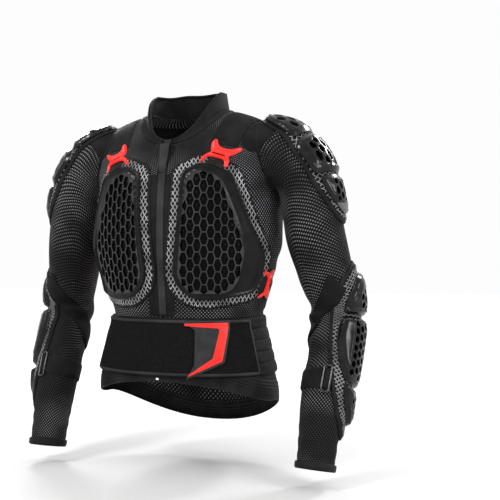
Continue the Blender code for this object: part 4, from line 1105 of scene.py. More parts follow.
# The open top of the zip: its two toothed tapes part, and one end of the flap stands up.
zip_teeth = moulded_finish("zip_teeth", (0.020, 0.020, 0.021), (0.10, 0.10, 0.105), 0.4)
tooth_runs = []
for edge in (-1, 1):
    for step in np.arange(0, OPEN_LENGTH, 0.0016):
        open_by = 0.0012 + 0.0065 * (step / OPEN_LENGTH) ** 1.4
        root = np.array([[edge * (open_by + 0.0022), flap_top + step],
                         [edge * open_by, flap_top + step]])
        tooth_runs.append(on_surface(front_chart, "zip_placket_knit", root, 0.0007))
dress(tube_set("zip_teeth", tooth_runs, 0.0005, 0.0006, 6, False, zip_teeth), "smooth_fabric")
flap_share = np.linspace(0, 1, 24)[:, None]
flap_across = np.linspace(-0.5, 0.5, 9)[None]
flap_points = np.stack(np.broadcast_arrays(
    flap_middle + 0.001 + flap_across * FLAP_WIDTH * (1.0 + 0.9 * flap_share) - 0.006 * flap_share,
    0.0,
    flap_top - 0.002 + flap_share * FLAP_RISE), -1)
base_spots, _ = cast(torso_skin, *front_chart(np.stack([flap_points[..., 0].ravel(),
                                                        flap_points[..., 2].ravel()], -1)))
base_depth = base_spots[:, 1].reshape(flap_points.shape[:2])
lean_out = 0.0042 + 0.0060 * flap_share**1.6 * (0.5 + flap_across) + 0.0008 * np.sin(flap_share * 9)
smooth_depth = np.minimum(base_depth, base_depth[:8].min() + 0.030)
flap_points[..., 1] = smooth_depth - lean_out
standing_flap = knit_grid("zip_flap_end", flap_points, (FLAP_WIDTH, FLAP_RISE), False,
                          [flap_knit_painted_highlight])
dress(walled(standing_flap, 0.0013), "smooth_fabric")

# A dark patch of loop cloth laid on the placket in the opening is painted shade: it stands for the dark
# gap of the open zip.
zip_gap_painted_shade = laid("zip_opening_painted_shade", front_chart, torso_skin, ["zip_placket_knit"],
                rounded_outline([(flap_middle + 0.003, flap_top - 0.002),
                                 (flap_middle + 0.019, flap_top + 0.046),
                                 (flap_middle - 0.002, flap_top + 0.050)], 0.001, 0.002),
                0.0004, [loop_cloth], spacing=0.003, settle=4)
dress(zip_gap_painted_shade, "smooth_fabric")

white_plastic = moulded_finish("white_plastic", (0.70, 0.70, 0.69), (0.82, 0.82, 0.81), 0.45)
stop_place = torso_offset(np.array([0.25, 0.12]), np.array([-0.02, -0.02]), 0.0026)
dress(tube_set("zip_stop", [(stop_place, np.array([[0, -1.0, 0], [0, -1.0, 0]]))], 0.0028, 0.0012, 8,
               False, white_plastic), "smooth_fabric")

# Chest armour.
# On each side of the chest a foam pad under coarse silver net is bound to the mesh, and on it sits
# a moulded plate, cut through with tall six-sided cells over a black liner of small studs.
CHEST_PLATE_WIDTH = 0.158
CHEST_PLATE_HEIGHT = 0.238
CHEST_PLATE_THICKNESS = 0.006
CHEST_PLATE_LEFT = -0.171
CHEST_PLATE_BOTTOM = 0.584
PAD_BORDER = 0.017
PAD_THICKNESS = 0.004
CELL_PITCH = (0.0115, 0.0225)
CELL_RIB = 0.0018
NET_PITCH = 0.0062
CORD_RADIUS = 0.00070
PAD_SPACING = 0.0045
CHEVRON_PITCH = 0.013
DIMPLE_PITCH = 0.0042
CHEST_PLATE = (
    (0.316, 1.000), (0.094, 0.933), (0.074, 0.773), (0.000, 0.196), (0.048, 0.098), (0.208, 0.010),
    (0.436, 0.000), (0.866, 0.054), (0.946, 0.133), (1.000, 0.329), (0.853, 0.534), (0.704, 0.817),
    (0.638, 0.924),
)
CHEST_FIELD = (
    (0.160, 0.900), (0.276, 0.945), (0.489, 0.895), (0.570, 0.773), (0.678, 0.569), (0.765, 0.356),
    (0.700, 0.140), (0.625, 0.070), (0.489, 0.045), (0.182, 0.050), (0.055, 0.170), (0.090, 0.551),
)

armour_gloss = moulded_finish("moulded_armour", (0.003, 0.003, 0.0032), (0.008, 0.008, 0.0084), 0.30,
                              0.00004, Specular_IOR_Level=0.12)
# The cell ribs share the plate's black moulding. Their paler colour is a painted highlight where their
# thin tops catch the light.
cell_rib_painted_highlight = moulded_finish("cell_rib_painted_highlight", (0.013, 0.013, 0.0136), (0.038, 0.038, 0.0395), 0.30,
                          0.00004, Specular_IOR_Level=0.3)
# The liner is the plate's black backing, made darker still than black plastic: painted shade for the
# deep cells above it.
cell_liner_and_shade = moulded_finish("cell_liner_and_shade", (0.0008, 0.0008, 0.0009), (0.002, 0.002, 0.0021), 0.30,
                            Specular_IOR_Level=0.05)
net_ground = knit_finish("net_ground", (0.003, 0.003, 0.0032), (0.009, 0.009, 0.0095),
                         (0.0030, 0.0030), 0.0006, 0.85)
net_cord = knit_finish("net_cord", (0.130, 0.130, 0.134), (0.380, 0.380, 0.390),
                       (0.0009, 0.0009), 0.0002, 0.55)
grey_cord = knit_finish("grey_net_cord", (0.090, 0.090, 0.092), (0.230, 0.230, 0.236),
                        (0.0009, 0.0009), 0.0002, 0.55)


def chest_place(shares):
    """Shares of the chest plate as lengths in its own flat view."""
    left = CHEST_PLATE_LEFT * CHEST_PLATE_WIDTH
    bottom = -CHEST_PLATE_BOTTOM * BODY_LENGTH
    return [(left + x * CHEST_PLATE_WIDTH, bottom + y * CHEST_PLATE_HEIGHT) for x, y in shares]


def cells(field, pitch, rib, along=False, smallest=0.45):
    """Six-sided cells in staggered columns, cut off where they cross the edge of their field."""
    field = np.asarray(field, float)
    column, row = pitch
    low, high = field.min(0), field.max(0)
    middle = (low + high) / 2
    shape = np.array([(1, 0), (0.5, 1), (-0.5, 1), (-1, 0), (-0.5, -1), (0.5, -1)])
    half = np.array([column * 2 / 3 - rib * 0.56, (row - rib) / 2])
    if along:
        shape, half = shape[:, ::-1], half[::-1]
    found = []
    reach = int((high - low).max() / min(pitch)) + 2
    for i in range(-reach, reach + 1):
        for j in range(-reach, reach + 1):
            step = np.array([i * column, (j + i % 2 / 2) * row])
            centre = middle + (step[::-1] if along else step)
            cell = centre + shape * half
            inside = within(cell, field)
            if inside.all():
                found.append(cell)
            elif within(centre[None], field)[0] and inside.sum() >= 3:
                trimmed = cell.copy()
                for k in np.flatnonzero(~inside):
                    for _ in range(12):
                        if within(trimmed[k][None], field)[0]:
                            break
                        trimmed[k] = centre + (trimmed[k] - centre) * 0.9
                area = 0.5 * abs(np.sum(trimmed[:, 0] * np.roll(trimmed[:, 1], -1)
                                        - np.roll(trimmed[:, 0], -1) * trimmed[:, 1]))
                if area > smallest * 3 * half[0] * half[1]:
                    found.append(trimmed)
    return found


def studs(centres, full, height, radius):
    """A liner's relief: flat, with a small round stud in each cell."""
    centres = np.array(centres)

    def relief(flat, gap):
        away = np.linalg.norm(flat[:, None] - centres[None], axis=-1).min(1)
        return full + height * np.clip(1 - (away / radius) ** 2, 0, 1)

    return relief


def net_over(name, chart, carrier, region, inner, pitch, material, margin=0.0025, lean=60):
    """Crossed cords over the part of a pad that its plates leave bare."""
    region = np.asarray(region, float)
    covered = [np.asarray(shape, float) for shape in inner]
    middle = region.mean(0)
    far = np.linalg.norm(region - middle, axis=1).max()
    runs = []
    for family, turn in enumerate((radians(lean), radians(180 - lean))):
        along = np.array([cos(turn), sin(turn)])
        across = np.array([-sin(turn), cos(turn)])
        for k in range(int(-far / pitch), int(far / pitch) + 1):
            steps = np.arange(-far, far, pitch / 4)
            flat = middle + across * k * pitch + along * steps[:, None]
            keep = within(flat, region)
            some = flat[keep]
            if not len(some):
                continue
            bare = edge_gap(some, region) > margin
            for shape in covered:
                bare &= ~within(some, shape)
            keep[keep] = bare
            bounds = np.flatnonzero(np.diff(np.concatenate([[0], keep.astype(int), [0]])))
            for first, last in zip(bounds[::2], bounds[1::2]):
                if last - first < 3:
                    continue
                weave = np.cos(steps[first:last] * pi / pitch + family * pi) * CORD_RADIUS * 0.7
                line, up = on_surface(chart, carrier, flat[first:last])
                runs.append((line + up * (weave + CORD_RADIUS * 0.9)[:, None], up))
    return tube_set(name, runs, CORD_RADIUS * 1.15, CORD_RADIUS, 4, False, material)


def bound_edge(name, chart, carrier, outline, width, height, material, inset=0.0):
    """A tape rolled along the whole edge of a finished piece."""
    path = eased(grown(even_outline(np.asarray(outline, float), 0.004), -inset), 2)
    line, up = on_surface(chart, carrier, path)
    return tube_set(name, [(eased(line, 2), up)], width / 2, height, 8, True, material)


plate_outline = rounded_outline(chest_place(CHEST_PLATE), 0.012, 0.0022)
plate_field = rounded_outline(chest_place(CHEST_FIELD), 0.008, 0.004)
chest_pad_outline = rounded_outline(grown(chest_place(CHEST_PLATE), PAD_BORDER), 0.016, 0.003)
chest_cells = cells(plate_field, CELL_PITCH, CELL_RIB, smallest=0.25)
plate_low = np.array(chest_place(((0, 0),)))[0]


def chest_relief(flat, gap):
    """The plate's thickness: a rounded outer bead, a sunk band with chevrons, a raised middle."""
    field_gap = edge_gap(flat, plate_field)
    bead = np.exp(-(((gap - 0.0022) / 0.0015) ** 2)) * 0.0012
    sunk = np.clip((gap - 0.003) / 0.004, 0, 1) * np.clip(field_gap / 0.004, 0, 1) * 0.0011
    share = (flat - plate_low) / np.array([CHEST_PLATE_WIDTH, CHEST_PLATE_HEIGHT])
    inner_band = (share[:, 0] < 0.30) & (field_gap > 0.002) & (gap > 0.004)
    chevron = np.cos((flat[:, 1] + np.abs(flat[:, 0] - plate_low[0] - 0.012) * 0.8) * 2 * pi
                     / CHEVRON_PITCH)
    marks = np.where(inner_band, np.clip(chevron, -0.2, 1) * 0.0006, 0)
    outer = (share[:, 0] > 0.66) & (share[:, 1] < 0.42) & (gap > 0.005) & (field_gap > 0.003)
    dimples = np.cos(flat * 2 * pi / DIMPLE_PITCH).prod(1)
    pits = np.where(outer, -np.clip(dimples, 0, 1) * 0.0004, 0)
    rim = np.exp(-((field_gap / 0.0016) ** 2)) * 0.0007
    return CHEST_PLATE_THICKNESS - 0.0010 + bead - sunk + marks + pits + rim


def chest_ribs(middles):
    """The ribs between the cells, which take the paler rib finish: a painted highlight."""
    return within(middles, plate_field).astype(int)


for name, side in SIDES:
    chart = chest_chart(side)
    pad = laid(name + "_chest_pad_net", chart, torso_skin, ["zip_placket_knit"], chest_pad_outline,
               PAD_THICKNESS, [net_ground], spacing=PAD_SPACING,
               relief=soft_edge(PAD_THICKNESS, 0.0014, 0.007))
    dress(pad, "pad_net", name + "_chest_pad")
    liner = laid(name + "_chest_cell_liner", chart, torso_skin, [name + "_chest_pad_net"],
                 grown(plate_field, 0.002), 0.0012, [cell_liner_and_shade], spacing=0.0021,
                 relief=studs([cell.mean(0) for cell in chest_cells], 0.0010, 0.0016, 0.0030))
    dress(liner, "armour")
    plate = laid(name + "_chest_plate_shell", chart, torso_skin, [name + "_chest_pad_net"],
                 plate_outline, CHEST_PLATE_THICKNESS, [armour_gloss, cell_rib_painted_highlight],
                 holes=chest_cells, spacing=0.0019, relief=chest_relief, rim=0.00045,
                 picks=chest_ribs)
    dress(plate, "armour", name + "_chest_plate")
    net = net_over(name + "_chest_net", chart, name + "_chest_pad_net", chest_pad_outline,
                   [grown(plate_outline, -0.002)], NET_PITCH, net_cord)
    dress(net, "pad_net")
    edge = bound_edge(name + "_chest_pad_binding", chart, name + "_chest_pad_net",
                      chest_pad_outline, 0.0040, 0.0013, binding_tape, 0.0010)
    dress(edge, "smooth_fabric")
    piping = bound_edge(name + "_chest_plate_piping", chart, name + "_chest_pad_net",
                        grown(plate_outline, 0.0014), 0.0026, 0.0012, binding_tape)
    dress(piping, "smooth_fabric")

# Back armour.
# A long foam pad under net runs down the spine. It carries a winged plate with a glossy frame, an
# hourglass of cells and slanting slots, and below it a small plate with a diamond grain, left bare.
BACK_PLATE_HALF_WIDTH = 0.125
BACK_PLATE_HEIGHT = 0.7188 * BODY_LENGTH
BACK_PLATE_THICKNESS = 0.007
BACK_PLATE_TOP = 0.0666 * BODY_LENGTH
TAIL_PLATE_WIDTH = 0.108
TAIL_PLATE_HEIGHT = 0.068
TAIL_PLATE_THICKNESS = 0.005
TAIL_GAP = 0.008
BACK_CELL_PITCH = (0.0128, 0.0158)
BACK_CELL_RIB = 0.0018
SLOT_LENGTH = 0.043
SLOT_WIDTH = 0.016
SLOT_LEAN = 0.18
SLOT_SLANT = 0.7
GLOSSY_RIB = 0.0095
DIAMOND_PITCH = 0.0060

BackRow = namedtuple("BackRow", "down half_width")
BACK_PLATE = (
    BackRow(0.000, 0.520), BackRow(0.055, 0.780), BackRow(0.110, 1.000), BackRow(0.240, 0.960),
    BackRow(0.420, 0.820), BackRow(0.570, 0.690), BackRow(0.630, 0.620), BackRow(0.830, 0.560),
    BackRow(1.000, 0.470),
)
BACK_FIELD = (
    BackRow(0.018, 0.420), BackRow(0.140, 0.610), BackRow(0.260, 0.540), BackRow(0.400, 0.370),
    BackRow(0.470, 0.370), BackRow(0.600, 0.555), BackRow(0.800, 0.500), BackRow(0.985, 0.410),
)
BACK_PAD = (
    BackRow(-0.035, 0.560), BackRow(0.030, 0.960), BackRow(0.105, 1.180), BackRow(0.240, 1.120),
    BackRow(0.440, 0.940), BackRow(0.590, 0.800), BackRow(0.660, 0.780), BackRow(0.780, 0.740),
    BackRow(0.900, 0.600), BackRow(1.150, 0.590), BackRow(1.220, 0.500), BackRow(1.250, 0.380),
)
BACK_SLOTS = (BackRow(0.190, 0.800), BackRow(0.290, 0.755), BackRow(0.390, 0.695))
WING_WINDOW = (BackRow(0.13, 0.92), BackRow(0.45, 0.80), BackRow(0.45, 0.60), BackRow(0.13, 0.68))


def back_place(rows):
    """Rows of the back as lengths in its flat view: down one side and up the other."""
    right = [(row.half_width * BACK_PLATE_HALF_WIDTH, -BACK_PLATE_TOP - row.down * BACK_PLATE_HEIGHT)
             for row in rows]
    return right + [(-x, z) for x, z in reversed(right)]


frame_gloss = moulded_finish("frame_gloss", (0.004, 0.004, 0.0043), (0.011, 0.011, 0.0116), 0.18,
                             0.00002, Specular_IOR_Level=0.4)
back_plate_outline = rounded_outline(back_place(BACK_PLATE), 0.014, 0.0028)
back_field = rounded_outline(back_place(BACK_FIELD), 0.010, 0.004)
back_pad_outline = rounded_outline(back_place(BACK_PAD), 0.020, 0.004)
back_cells = cells(back_field, BACK_CELL_PITCH, BACK_CELL_RIB)
slots = []
for side in (1, -1):
    for row in BACK_SLOTS:
        x, z = back_place((row,))[0]
        x *= side
        lean, tall, wide = side * SLOT_LENGTH * SLOT_LEAN, SLOT_LENGTH / 2, SLOT_WIDTH / 2
        short = tall * SLOT_SLANT
        slots.append(rounded_outline([(x - wide - lean, z - tall), (x + wide - lean, z - short),
                                      (x + wide + lean, z + tall), (x - wide + lean, z + short)],
                                     0.002, 0.003))


def back_relief(flat, gap):
    """A raised glossy rib round the cells, sunk wings, and a bead along the outer edge."""
    field_gap = edge_gap(flat, back_field)
    inside = within(flat, back_field)
    rib = np.exp(-(((field_gap - 0.005) / 0.0045) ** 2)) * np.where(inside, 0, 0.0022)
    bead = np.exp(-(((gap - 0.003) / 0.0022) ** 2)) * 0.0012
    middle = np.where(inside, 0.0008 * np.cos(flat[:, 0] * pi / 0.2), 0)
    return BACK_PLATE_THICKNESS - 0.0012 + rib + bead + middle


def back_ribs(middles):
    """The ribs between the cells, which take the paler finish of painted highlight, and the glossy rib
    round them.
    """
    rim = edge_gap(middles, back_field) < GLOSSY_RIB
    return np.where(within(middles, back_field), 1, np.where(rim, 2, 0))


surfaces["hem_band_elastic"] = ring_tree(hem_points)
back_pad = laid("back_pad_net", back_chart, torso_skin, ["kidney_belt_elastic", "hem_band_elastic"],
                back_pad_outline, PAD_THICKNESS, [net_ground], spacing=0.0055,
                relief=soft_edge(PAD_THICKNESS, 0.0014, 0.008), settle=30)
dress(back_pad, "pad_net", "back_pad")
back_liner = laid("back_cell_liner", back_chart, torso_skin, ["back_pad_net"], grown(back_field, 0.002),
                  0.0012, [cell_liner_and_shade], spacing=0.0028,
                  relief=studs([cell.mean(0) for cell in back_cells], 0.0010, 0.0018, 0.0034))
dress(back_liner, "armour")
spine_plate = laid("spine_plate_shell", back_chart, torso_skin, ["back_pad_net"],
                   back_plate_outline, BACK_PLATE_THICKNESS,
                   [armour_gloss, cell_rib_painted_highlight, frame_gloss],
                   holes=back_cells + slots, spacing=0.0030, relief=back_relief, rim=0.0005,
                   settle=20, picks=back_ribs)
dress(spine_plate, "armour", "spine_plate")
tail_top = -BACK_PLATE_TOP - BACK_PLATE_HEIGHT - TAIL_GAP
tail_half = TAIL_PLATE_WIDTH / 2
tail_low = tail_top - TAIL_PLATE_HEIGHT
tail_outline = rounded_outline([(-tail_half, tail_top), (tail_half, tail_top),
                                (tail_half, tail_low + TAIL_PLATE_HEIGHT * 0.2),
                                (tail_half * 0.8, tail_low), (-tail_half * 0.8, tail_low),
                                (-tail_half, tail_low + TAIL_PLATE_HEIGHT * 0.2)], 0.010, 0.002)


def tail_relief(flat, gap):
    """A plain frame round a field of small diamonds."""
    field = np.clip((gap - 0.007) / 0.0015, 0, 1)
    grain = (np.cos((flat[:, 0] + flat[:, 1]) * 2 * pi / DIAMOND_PITCH)
             + np.cos((flat[:, 0] - flat[:, 1]) * 2 * pi / DIAMOND_PITCH)) / 2
    bead = np.exp(-(((gap - 0.0055) / 0.0015) ** 2)) * 0.0007
    return TAIL_PLATE_THICKNESS - 0.0006 + bead - field * (0.0010 - 0.0005 * grain)


tail_plate = laid("tail_plate_shell", back_chart, torso_skin, ["back_pad_net"], tail_outline,
                  TAIL_PLATE_THICKNESS, [armour_gloss], spacing=0.0015, relief=tail_relief,
                  rim=0.0008, settle=20)
dress(tail_plate, "armour", "tail_plate")
dress(net_over("back_net", back_chart, "back_pad_net", back_pad_outline,
               [grown(back_plate_outline, -0.002), tail_outline], NET_PITCH, grey_cord,
               margin=0.005), "pad_net")
for name, side in SIDES:
    wing_window = [(side * row.half_width * BACK_PLATE_HALF_WIDTH,
                    -BACK_PLATE_TOP - row.down * BACK_PLATE_HEIGHT) for row in WING_WINDOW]
    slot_net = net_over(name + "_back_slot_net", back_chart, "back_pad_net",
                        rounded_outline(wing_window, 0.004, 0.004), [], NET_PITCH, grey_cord,
                        margin=0.001)
    dress(slot_net, "pad_net")
dress(bound_edge("back_pad_binding", back_chart, "back_pad_net", back_pad_outline, 0.0066, 0.0015,
                 binding_tape, 0.0014), "smooth_fabric")

# Shoulder straps.
# A broad smooth strap crosses each shoulder, sewn to a wing that reaches the shoulder cap. Red
# moulded clips hook it to a webbing tab on the chest plate and to the back plate.
STRAP_WIDTH = 0.048
STRAP_THICKNESS = 0.002
BUCKLE_WIDTH = 0.047
BUCKLE_HEIGHT = 0.050
BUCKLE_THICKNESS = 0.003
TAB_WIDTH = 0.030
TAB_HEIGHT = 0.024
SHOULDER_STRAP = ((0.547, -1.25), (0.589, -0.60), (0.637, 0.00), (0.653, 0.36), (0.658, 0.70))
SHOULDER_WING = (
    (0.690, -1.20), (0.790, -1.33), (0.960, -0.85), (0.990, -0.32), (0.990, 0.24), (0.935, 0.63),
    (0.770, 0.66), (0.755, 0.36), (0.740, 0.00), (0.695, -0.60),
)
FRONT_BUCKLE = (0.537, -1.43)
REAR_BUCKLE = (0.658, 0.85)
CHEST_TAB = (0.316, 0.183)

# One clip as shares of its size: a solid crescent with two horns over a thin one with two legs.
CLIP = (
    (-0.52, 0.52), (-0.42, 0.50), (-0.31, 0.33), (-0.12, 0.25), (0.12, 0.25), (0.31, 0.33),
    (0.42, 0.50), (0.52, 0.52), (0.54, 0.32), (0.43, 0.08), (0.31, -0.04), (0.37, -0.13),
    (0.47, -0.24), (0.52, -0.50), (0.43, -0.50), (0.37, -0.31), (0.24, -0.23), (-0.24, -0.23),
    (-0.37, -0.31), (-0.43, -0.50), (-0.52, -0.50), (-0.47, -0.24), (-0.37, -0.13),
    (-0.31, -0.04), (-0.43, 0.08), (-0.54, 0.32),
)
CLIP_SLOT = ((-0.27, -0.145), (0.27, -0.145), (0.25, -0.055), (-0.25, -0.055))
CLIP_LEAN = radians(-20)
REAR_CLIP_LEAN = radians(35)

clip_red = moulded_finish("clip_red", (0.700, 0.012, 0.008), (0.820, 0.030, 0.022), 0.34, 0.00003,
                          Specular_IOR_Level=0.25)
webbing = knit_finish("webbing", (0.008, 0.006, 0.006), (0.017, 0.013, 0.013), (0.0016, 0.0009),
                      0.0003, 0.7)
strap_knit = knit_finish("strap_knit", (0.004, 0.004, 0.0043), (0.009, 0.009, 0.0094),
                         (0.0010, 0.0010), 0.0002, 0.75)


def ribbon(path, width):
    """The outline of a strap along a flat path of its middle points."""
    path = np.array(path, float)
    fine = between(path, np.linspace(0, len(path) - 1, 40))
    run = unit(np.gradient(fine, axis=0))
    across = np.stack([run[:, 1], -run[:, 0]], -1) * width / 2
    return np.concatenate([fine + across, (fine - across)[::-1]])


def clip_relief(flat, gap):
    """A crowned bar, thickest along its middle."""
    return 0.0014 + 0.0030 * np.sqrt(np.clip(gap / 0.0055, 0, 1))


def leant(points, middle, lean):
    """Flat points turned about their middle."""
    away = np.asarray(points, float) - middle
    return np.array(middle) + np.stack([away[:, 0] * cos(lean) - away[:, 1] * sin(lean),
                                        away[:, 0] * sin(lean) + away[:, 1] * cos(lean)], -1)


def clip(name, chart, skin, middle, stretch, lean, below, node):
    """One moulded clip, with the slot that its webbing passes through."""
    def placed(shares):
        flat = np.array(shares) * np.array([BUCKLE_WIDTH, BUCKLE_HEIGHT]) * np.array(stretch)
        return leant(np.array(middle) + flat, middle, lean)

    slot = rounded_outline(placed(CLIP_SLOT), 0.0015, 0.0015)
    piece = laid(name, chart, skin, below, rounded_outline(placed(CLIP), 0.004, 0.0014),
                 BUCKLE_THICKNESS, [clip_red], holes=[slot], spacing=0.0013, rim=0.0007,
                 relief=clip_relief, settle=25)
    dress(piece, "red_plastic", node)


SLEEVE_SKIN_ROWS = 140
webbing_relief = soft_edge(STRAP_THICKNESS, 0.0010, 0.002)
whole_points = [torso_grid.reshape(-1, 3)]
whole_faces = [grid_faces(len(torso_grid), BODY_COLUMNS, True)]
sleeve_grid = arm_point(np.linspace(0, 1, SLEEVE_SKIN_ROWS)[:, None], sleeve_angles).reshape(-1, 3)
sleeve_faces = grid_faces(SLEEVE_SKIN_ROWS, SLEEVE_COLUMNS, True)
for _, side in SIDES:
    whole_faces.append(sleeve_faces + sum(len(block) for block in whole_points))
    whole_points.append(mirrored(sleeve_grid, side))
whole_skin = tree_from(np.concatenate(whole_points), np.concatenate(whole_faces))


def shoulder_place(shares):
    """Shares of the chest's width and depth as lengths in the flat view of a shoulder."""
    return [(x * CHEST_HALF_WIDTH, v * CHEST_FRONT_DEPTH) for x, v in shares]


for name, side in SIDES:
    chart = shoulder_chart(side)
    wing = laid(name + "_shoulder_wing_knit", chart, whole_skin, [],
                rounded_outline(shoulder_place(SHOULDER_WING), 0.010, 0.003), STRAP_THICKNESS,
                [strap_knit], spacing=0.0035, relief=soft_edge(0.0018, 0.0009, 0.003), settle=30)
    dress(wing, "smooth_fabric", name + "_shoulder_wing")
    under = [name + "_chest_pad_net", "back_pad_net", name + "_shoulder_wing_knit"]
    strap = laid(name + "_shoulder_strap_knit", chart, whole_skin, under,
                 ribbon(shoulder_place(SHOULDER_STRAP), STRAP_WIDTH), STRAP_THICKNESS, [strap_knit],
                 spacing=0.0035, relief=soft_edge(0.0021, 0.0010, 0.003), settle=30)
    dress(strap, "smooth_fabric", name + "_shoulder_strap")
    tab_middle = (CHEST_TAB[0] * CHEST_PLATE_WIDTH, -CHEST_TAB[1] * BODY_LENGTH)
    tab = laid(name + "_chest_tab_webbing", chest_chart(side), torso_skin,
               [name + "_chest_pad_net", name + "_chest_plate_shell", name + "_shoulder_strap_knit"],
               rounded_outline(leant(box_corners(tab_middle, TAB_WIDTH, TAB_HEIGHT), tab_middle,
                                     CLIP_LEAN), 0.002, 0.002),
               STRAP_THICKNESS, [webbing], spacing=0.0028, relief=webbing_relief, settle=10)
    dress(tab, "webbing", name + "_chest_tab")
    clip(name + "_front_clip", chart, torso_skin, shoulder_place((FRONT_BUCKLE,))[0], (1.0, 1.2),
         CLIP_LEAN,
         [name + "_chest_pad_net", name + "_shoulder_strap_knit", name + "_chest_tab_webbing"],
         name + "_front_buckle")
    clip(name + "_rear_clip", chart, torso_skin, shoulder_place((REAR_BUCKLE,))[0], (1.0, -1.0),
         REAR_CLIP_LEAN, ["back_pad_net", "spine_plate_shell", name + "_shoulder_strap_knit"],
         name + "_rear_buckle")

# Side straps.
# A webbing strap runs round each side from under the back plate, through a moulded slider, to a
# red clip that hooks on a tab of the chest plate.
SIDE_STRAP_WIDTH = 0.042
SLIDER_WIDTH = 0.026
LOOP_BAR = 0.005
SIDE_STRAP = ((1.58, 0.545), (1.90, 0.590), (2.42, 0.620))
SIDE_SLIDER = (2.18, 0.608)
SLIDER_SLOT = 0.0048
SIDE_BUCKLE = (1.50, 0.541)
SIDE_TAB = (1.405, 0.541)
SIDE_CLIP_LEAN = radians(-90)


def waist_place(turn, drop):
    """A turn round the waist and a drop, as lengths in its flat view."""
    return turn * CHEST_HALF_WIDTH, -drop * BODY_LENGTH


for name, side in SIDES:
    chart = waist_chart(side)
    base = ["kidney_belt_elastic", name + "_chest_pad_net", "back_pad_net"]
    if side > 0:
        base.append("belt_front_loop")
    strap = laid(name + "_side_strap_webbing", chart, torso_skin, base,
                 ribbon([waist_place(*spot) for spot in SIDE_STRAP], SIDE_STRAP_WIDTH),
                 STRAP_THICKNESS, [webbing], spacing=0.0035, relief=webbing_relief, settle=20)
    dress(strap, "webbing", name + "_side_strap")
    slider_middle = waist_place(*SIDE_SLIDER)
    slider = laid(name + "_side_slider_ring", chart, torso_skin,
                  [name + "_side_strap_webbing", "kidney_belt_elastic"],
                  rounded_outline(box_corners(slider_middle, SLIDER_WIDTH,
                                              SIDE_STRAP_WIDTH + 2 * LOOP_BAR), 0.004, 0.0015),
                  BUCKLE_THICKNESS, [armour_gloss],
                  holes=[rounded_outline(box_corners((slider_middle[0] + shift, slider_middle[1]),
                                                     SLIDER_WIDTH * 0.22, SIDE_STRAP_WIDTH - 0.002),
                                         0.002, 0.002) for shift in (-SLIDER_SLOT, SLIDER_SLOT)],
                  spacing=0.0016, rim=0.0008, relief=soft_edge(0.0034, 0.002, 0.002), settle=25)
    dress(slider, "armour", name + "_side_slider")
    tab = laid(name + "_side_tab_webbing", chart, torso_skin,
               [name + "_chest_pad_net", name + "_chest_plate_shell"],
               rounded_outline(box_corners(waist_place(*SIDE_TAB), TAB_WIDTH, TAB_WIDTH), 0.002,
                               0.002),
               STRAP_THICKNESS, [webbing], spacing=0.0028, relief=webbing_relief, settle=10)
    dress(tab, "webbing", name + "_side_tab")
    clip(name + "_side_clip", chart, torso_skin, waist_place(*SIDE_BUCKLE), (1.0, 1.1),
         SIDE_CLIP_LEAN,
         [name + "_chest_pad_net", name + "_side_strap_webbing", name + "_side_tab_webbing"],
         name + "_side_buckle")

# Shoulder and elbow armour.
# On each shoulder and elbow a foam pad under net is bound to the sleeve and carries three moulded
# caps that lap like scales, each with a glossy band and a window of deep six-sided cells.
CAP_THICKNESS = 0.008
ELBOW_CAP_THICKNESS = 0.013
LIMB_PAD_THICKNESS = 0.005
CAP_CELL_PITCH = (0.0130, 0.0150)
CAP_CELL_RIB = 0.0028
CAP_MARGIN = 0.0065
SHOULDER_PAD = (
    (0.044, -28), (0.044, 32), (0.090, 54), (0.150, 78), (0.220, 78), (0.290, 50), (0.335, 22),
    (0.335, -10), (0.290, -38), (0.220, -66), (0.150, -68), (0.090, -46),
)
ELBOW_PAD = (
    (0.450, -5), (0.450, 45), (0.480, 85), (0.530, 108), (0.620, 112), (0.720, 100), (0.800, 85),
    (0.870, 65), (0.915, 40), (0.915, 5), (0.870, -28), (0.800, -56), (0.720, -76),
    (0.620, -84), (0.530, -78), (0.480, -52),
)

# Each cap's outline, as shares of the sleeve's length and degrees round it, and where its window
# lies, as shares of the cap's own length and breadth.
Cap = namedtuple("Cap", "outline window lip")
SHOULDER_CAPS = (
    Cap(((0.050, -22), (0.050, 26), (0.090, 42), (0.130, 46), (0.130, -50), (0.090, -42)),
        (0.08, 0.92, 0.14, 0.82), None),
    Cap(((0.138, -50), (0.138, 52), (0.155, 66), (0.211, 64), (0.211, -58), (0.155, -62)),
        (0.06, 0.94, 0.13, 0.84), None),
    Cap(((0.219, -50), (0.219, 56), (0.262, 42), (0.308, 20), (0.308, -12), (0.262, -37)),
        (0.04, 0.66, 0.20, 0.80), 0.70),
)
ELBOW_CAPS = (
    Cap(((0.485, -10), (0.485, 48), (0.530, 80), (0.584, 88), (0.584, -56), (0.530, -48)),
        (0.36, 0.97, 0.24, 0.86), None),
    Cap(((0.593, -60), (0.593, 95), (0.660, 92), (0.735, 80), (0.771, 60), (0.771, -34),
         (0.735, -54), (0.660, -68)), (0.05, 0.95, 0.20, 0.88), None),
    Cap(((0.780, -34), (0.780, 58), (0.830, 50), (0.878, 36), (0.878, 8), (0.830, -20)),
        (0.06, 0.62, 0.24, 0.86), None),
)
cap_gloss = moulded_finish("cap_gloss", (0.002, 0.002, 0.0022), (0.008, 0.008, 0.0084), 0.20,
                           0.00003, Specular_IOR_Level=0.22)
lip_grey = moulded_finish("cap_lip_grey", (0.075, 0.075, 0.078), (0.120, 0.120, 0.124), 0.45,
                          Specular_IOR_Level=0.2)


def sleeve_place(shares):
    """Shares of the sleeve's length and degrees round it, as lengths in its flat view."""
    return [(share * ARM_LENGTH, radians(turn) * SLEEVE_RADIUS) for share, turn in shares]


def cap_window(outline, box):
    """The part of a cap, in from its edge, that its window takes up."""
    low, high = outline.min(0), outline.max(0)
    corner = low + (high - low) * np.array(box)[[0, 2]]
    opposite = low + (high - low) * np.array(box)[[1, 3]]
    return even_outline(np.clip(grown(outline, -CAP_MARGIN), corner, opposite), 0.003)


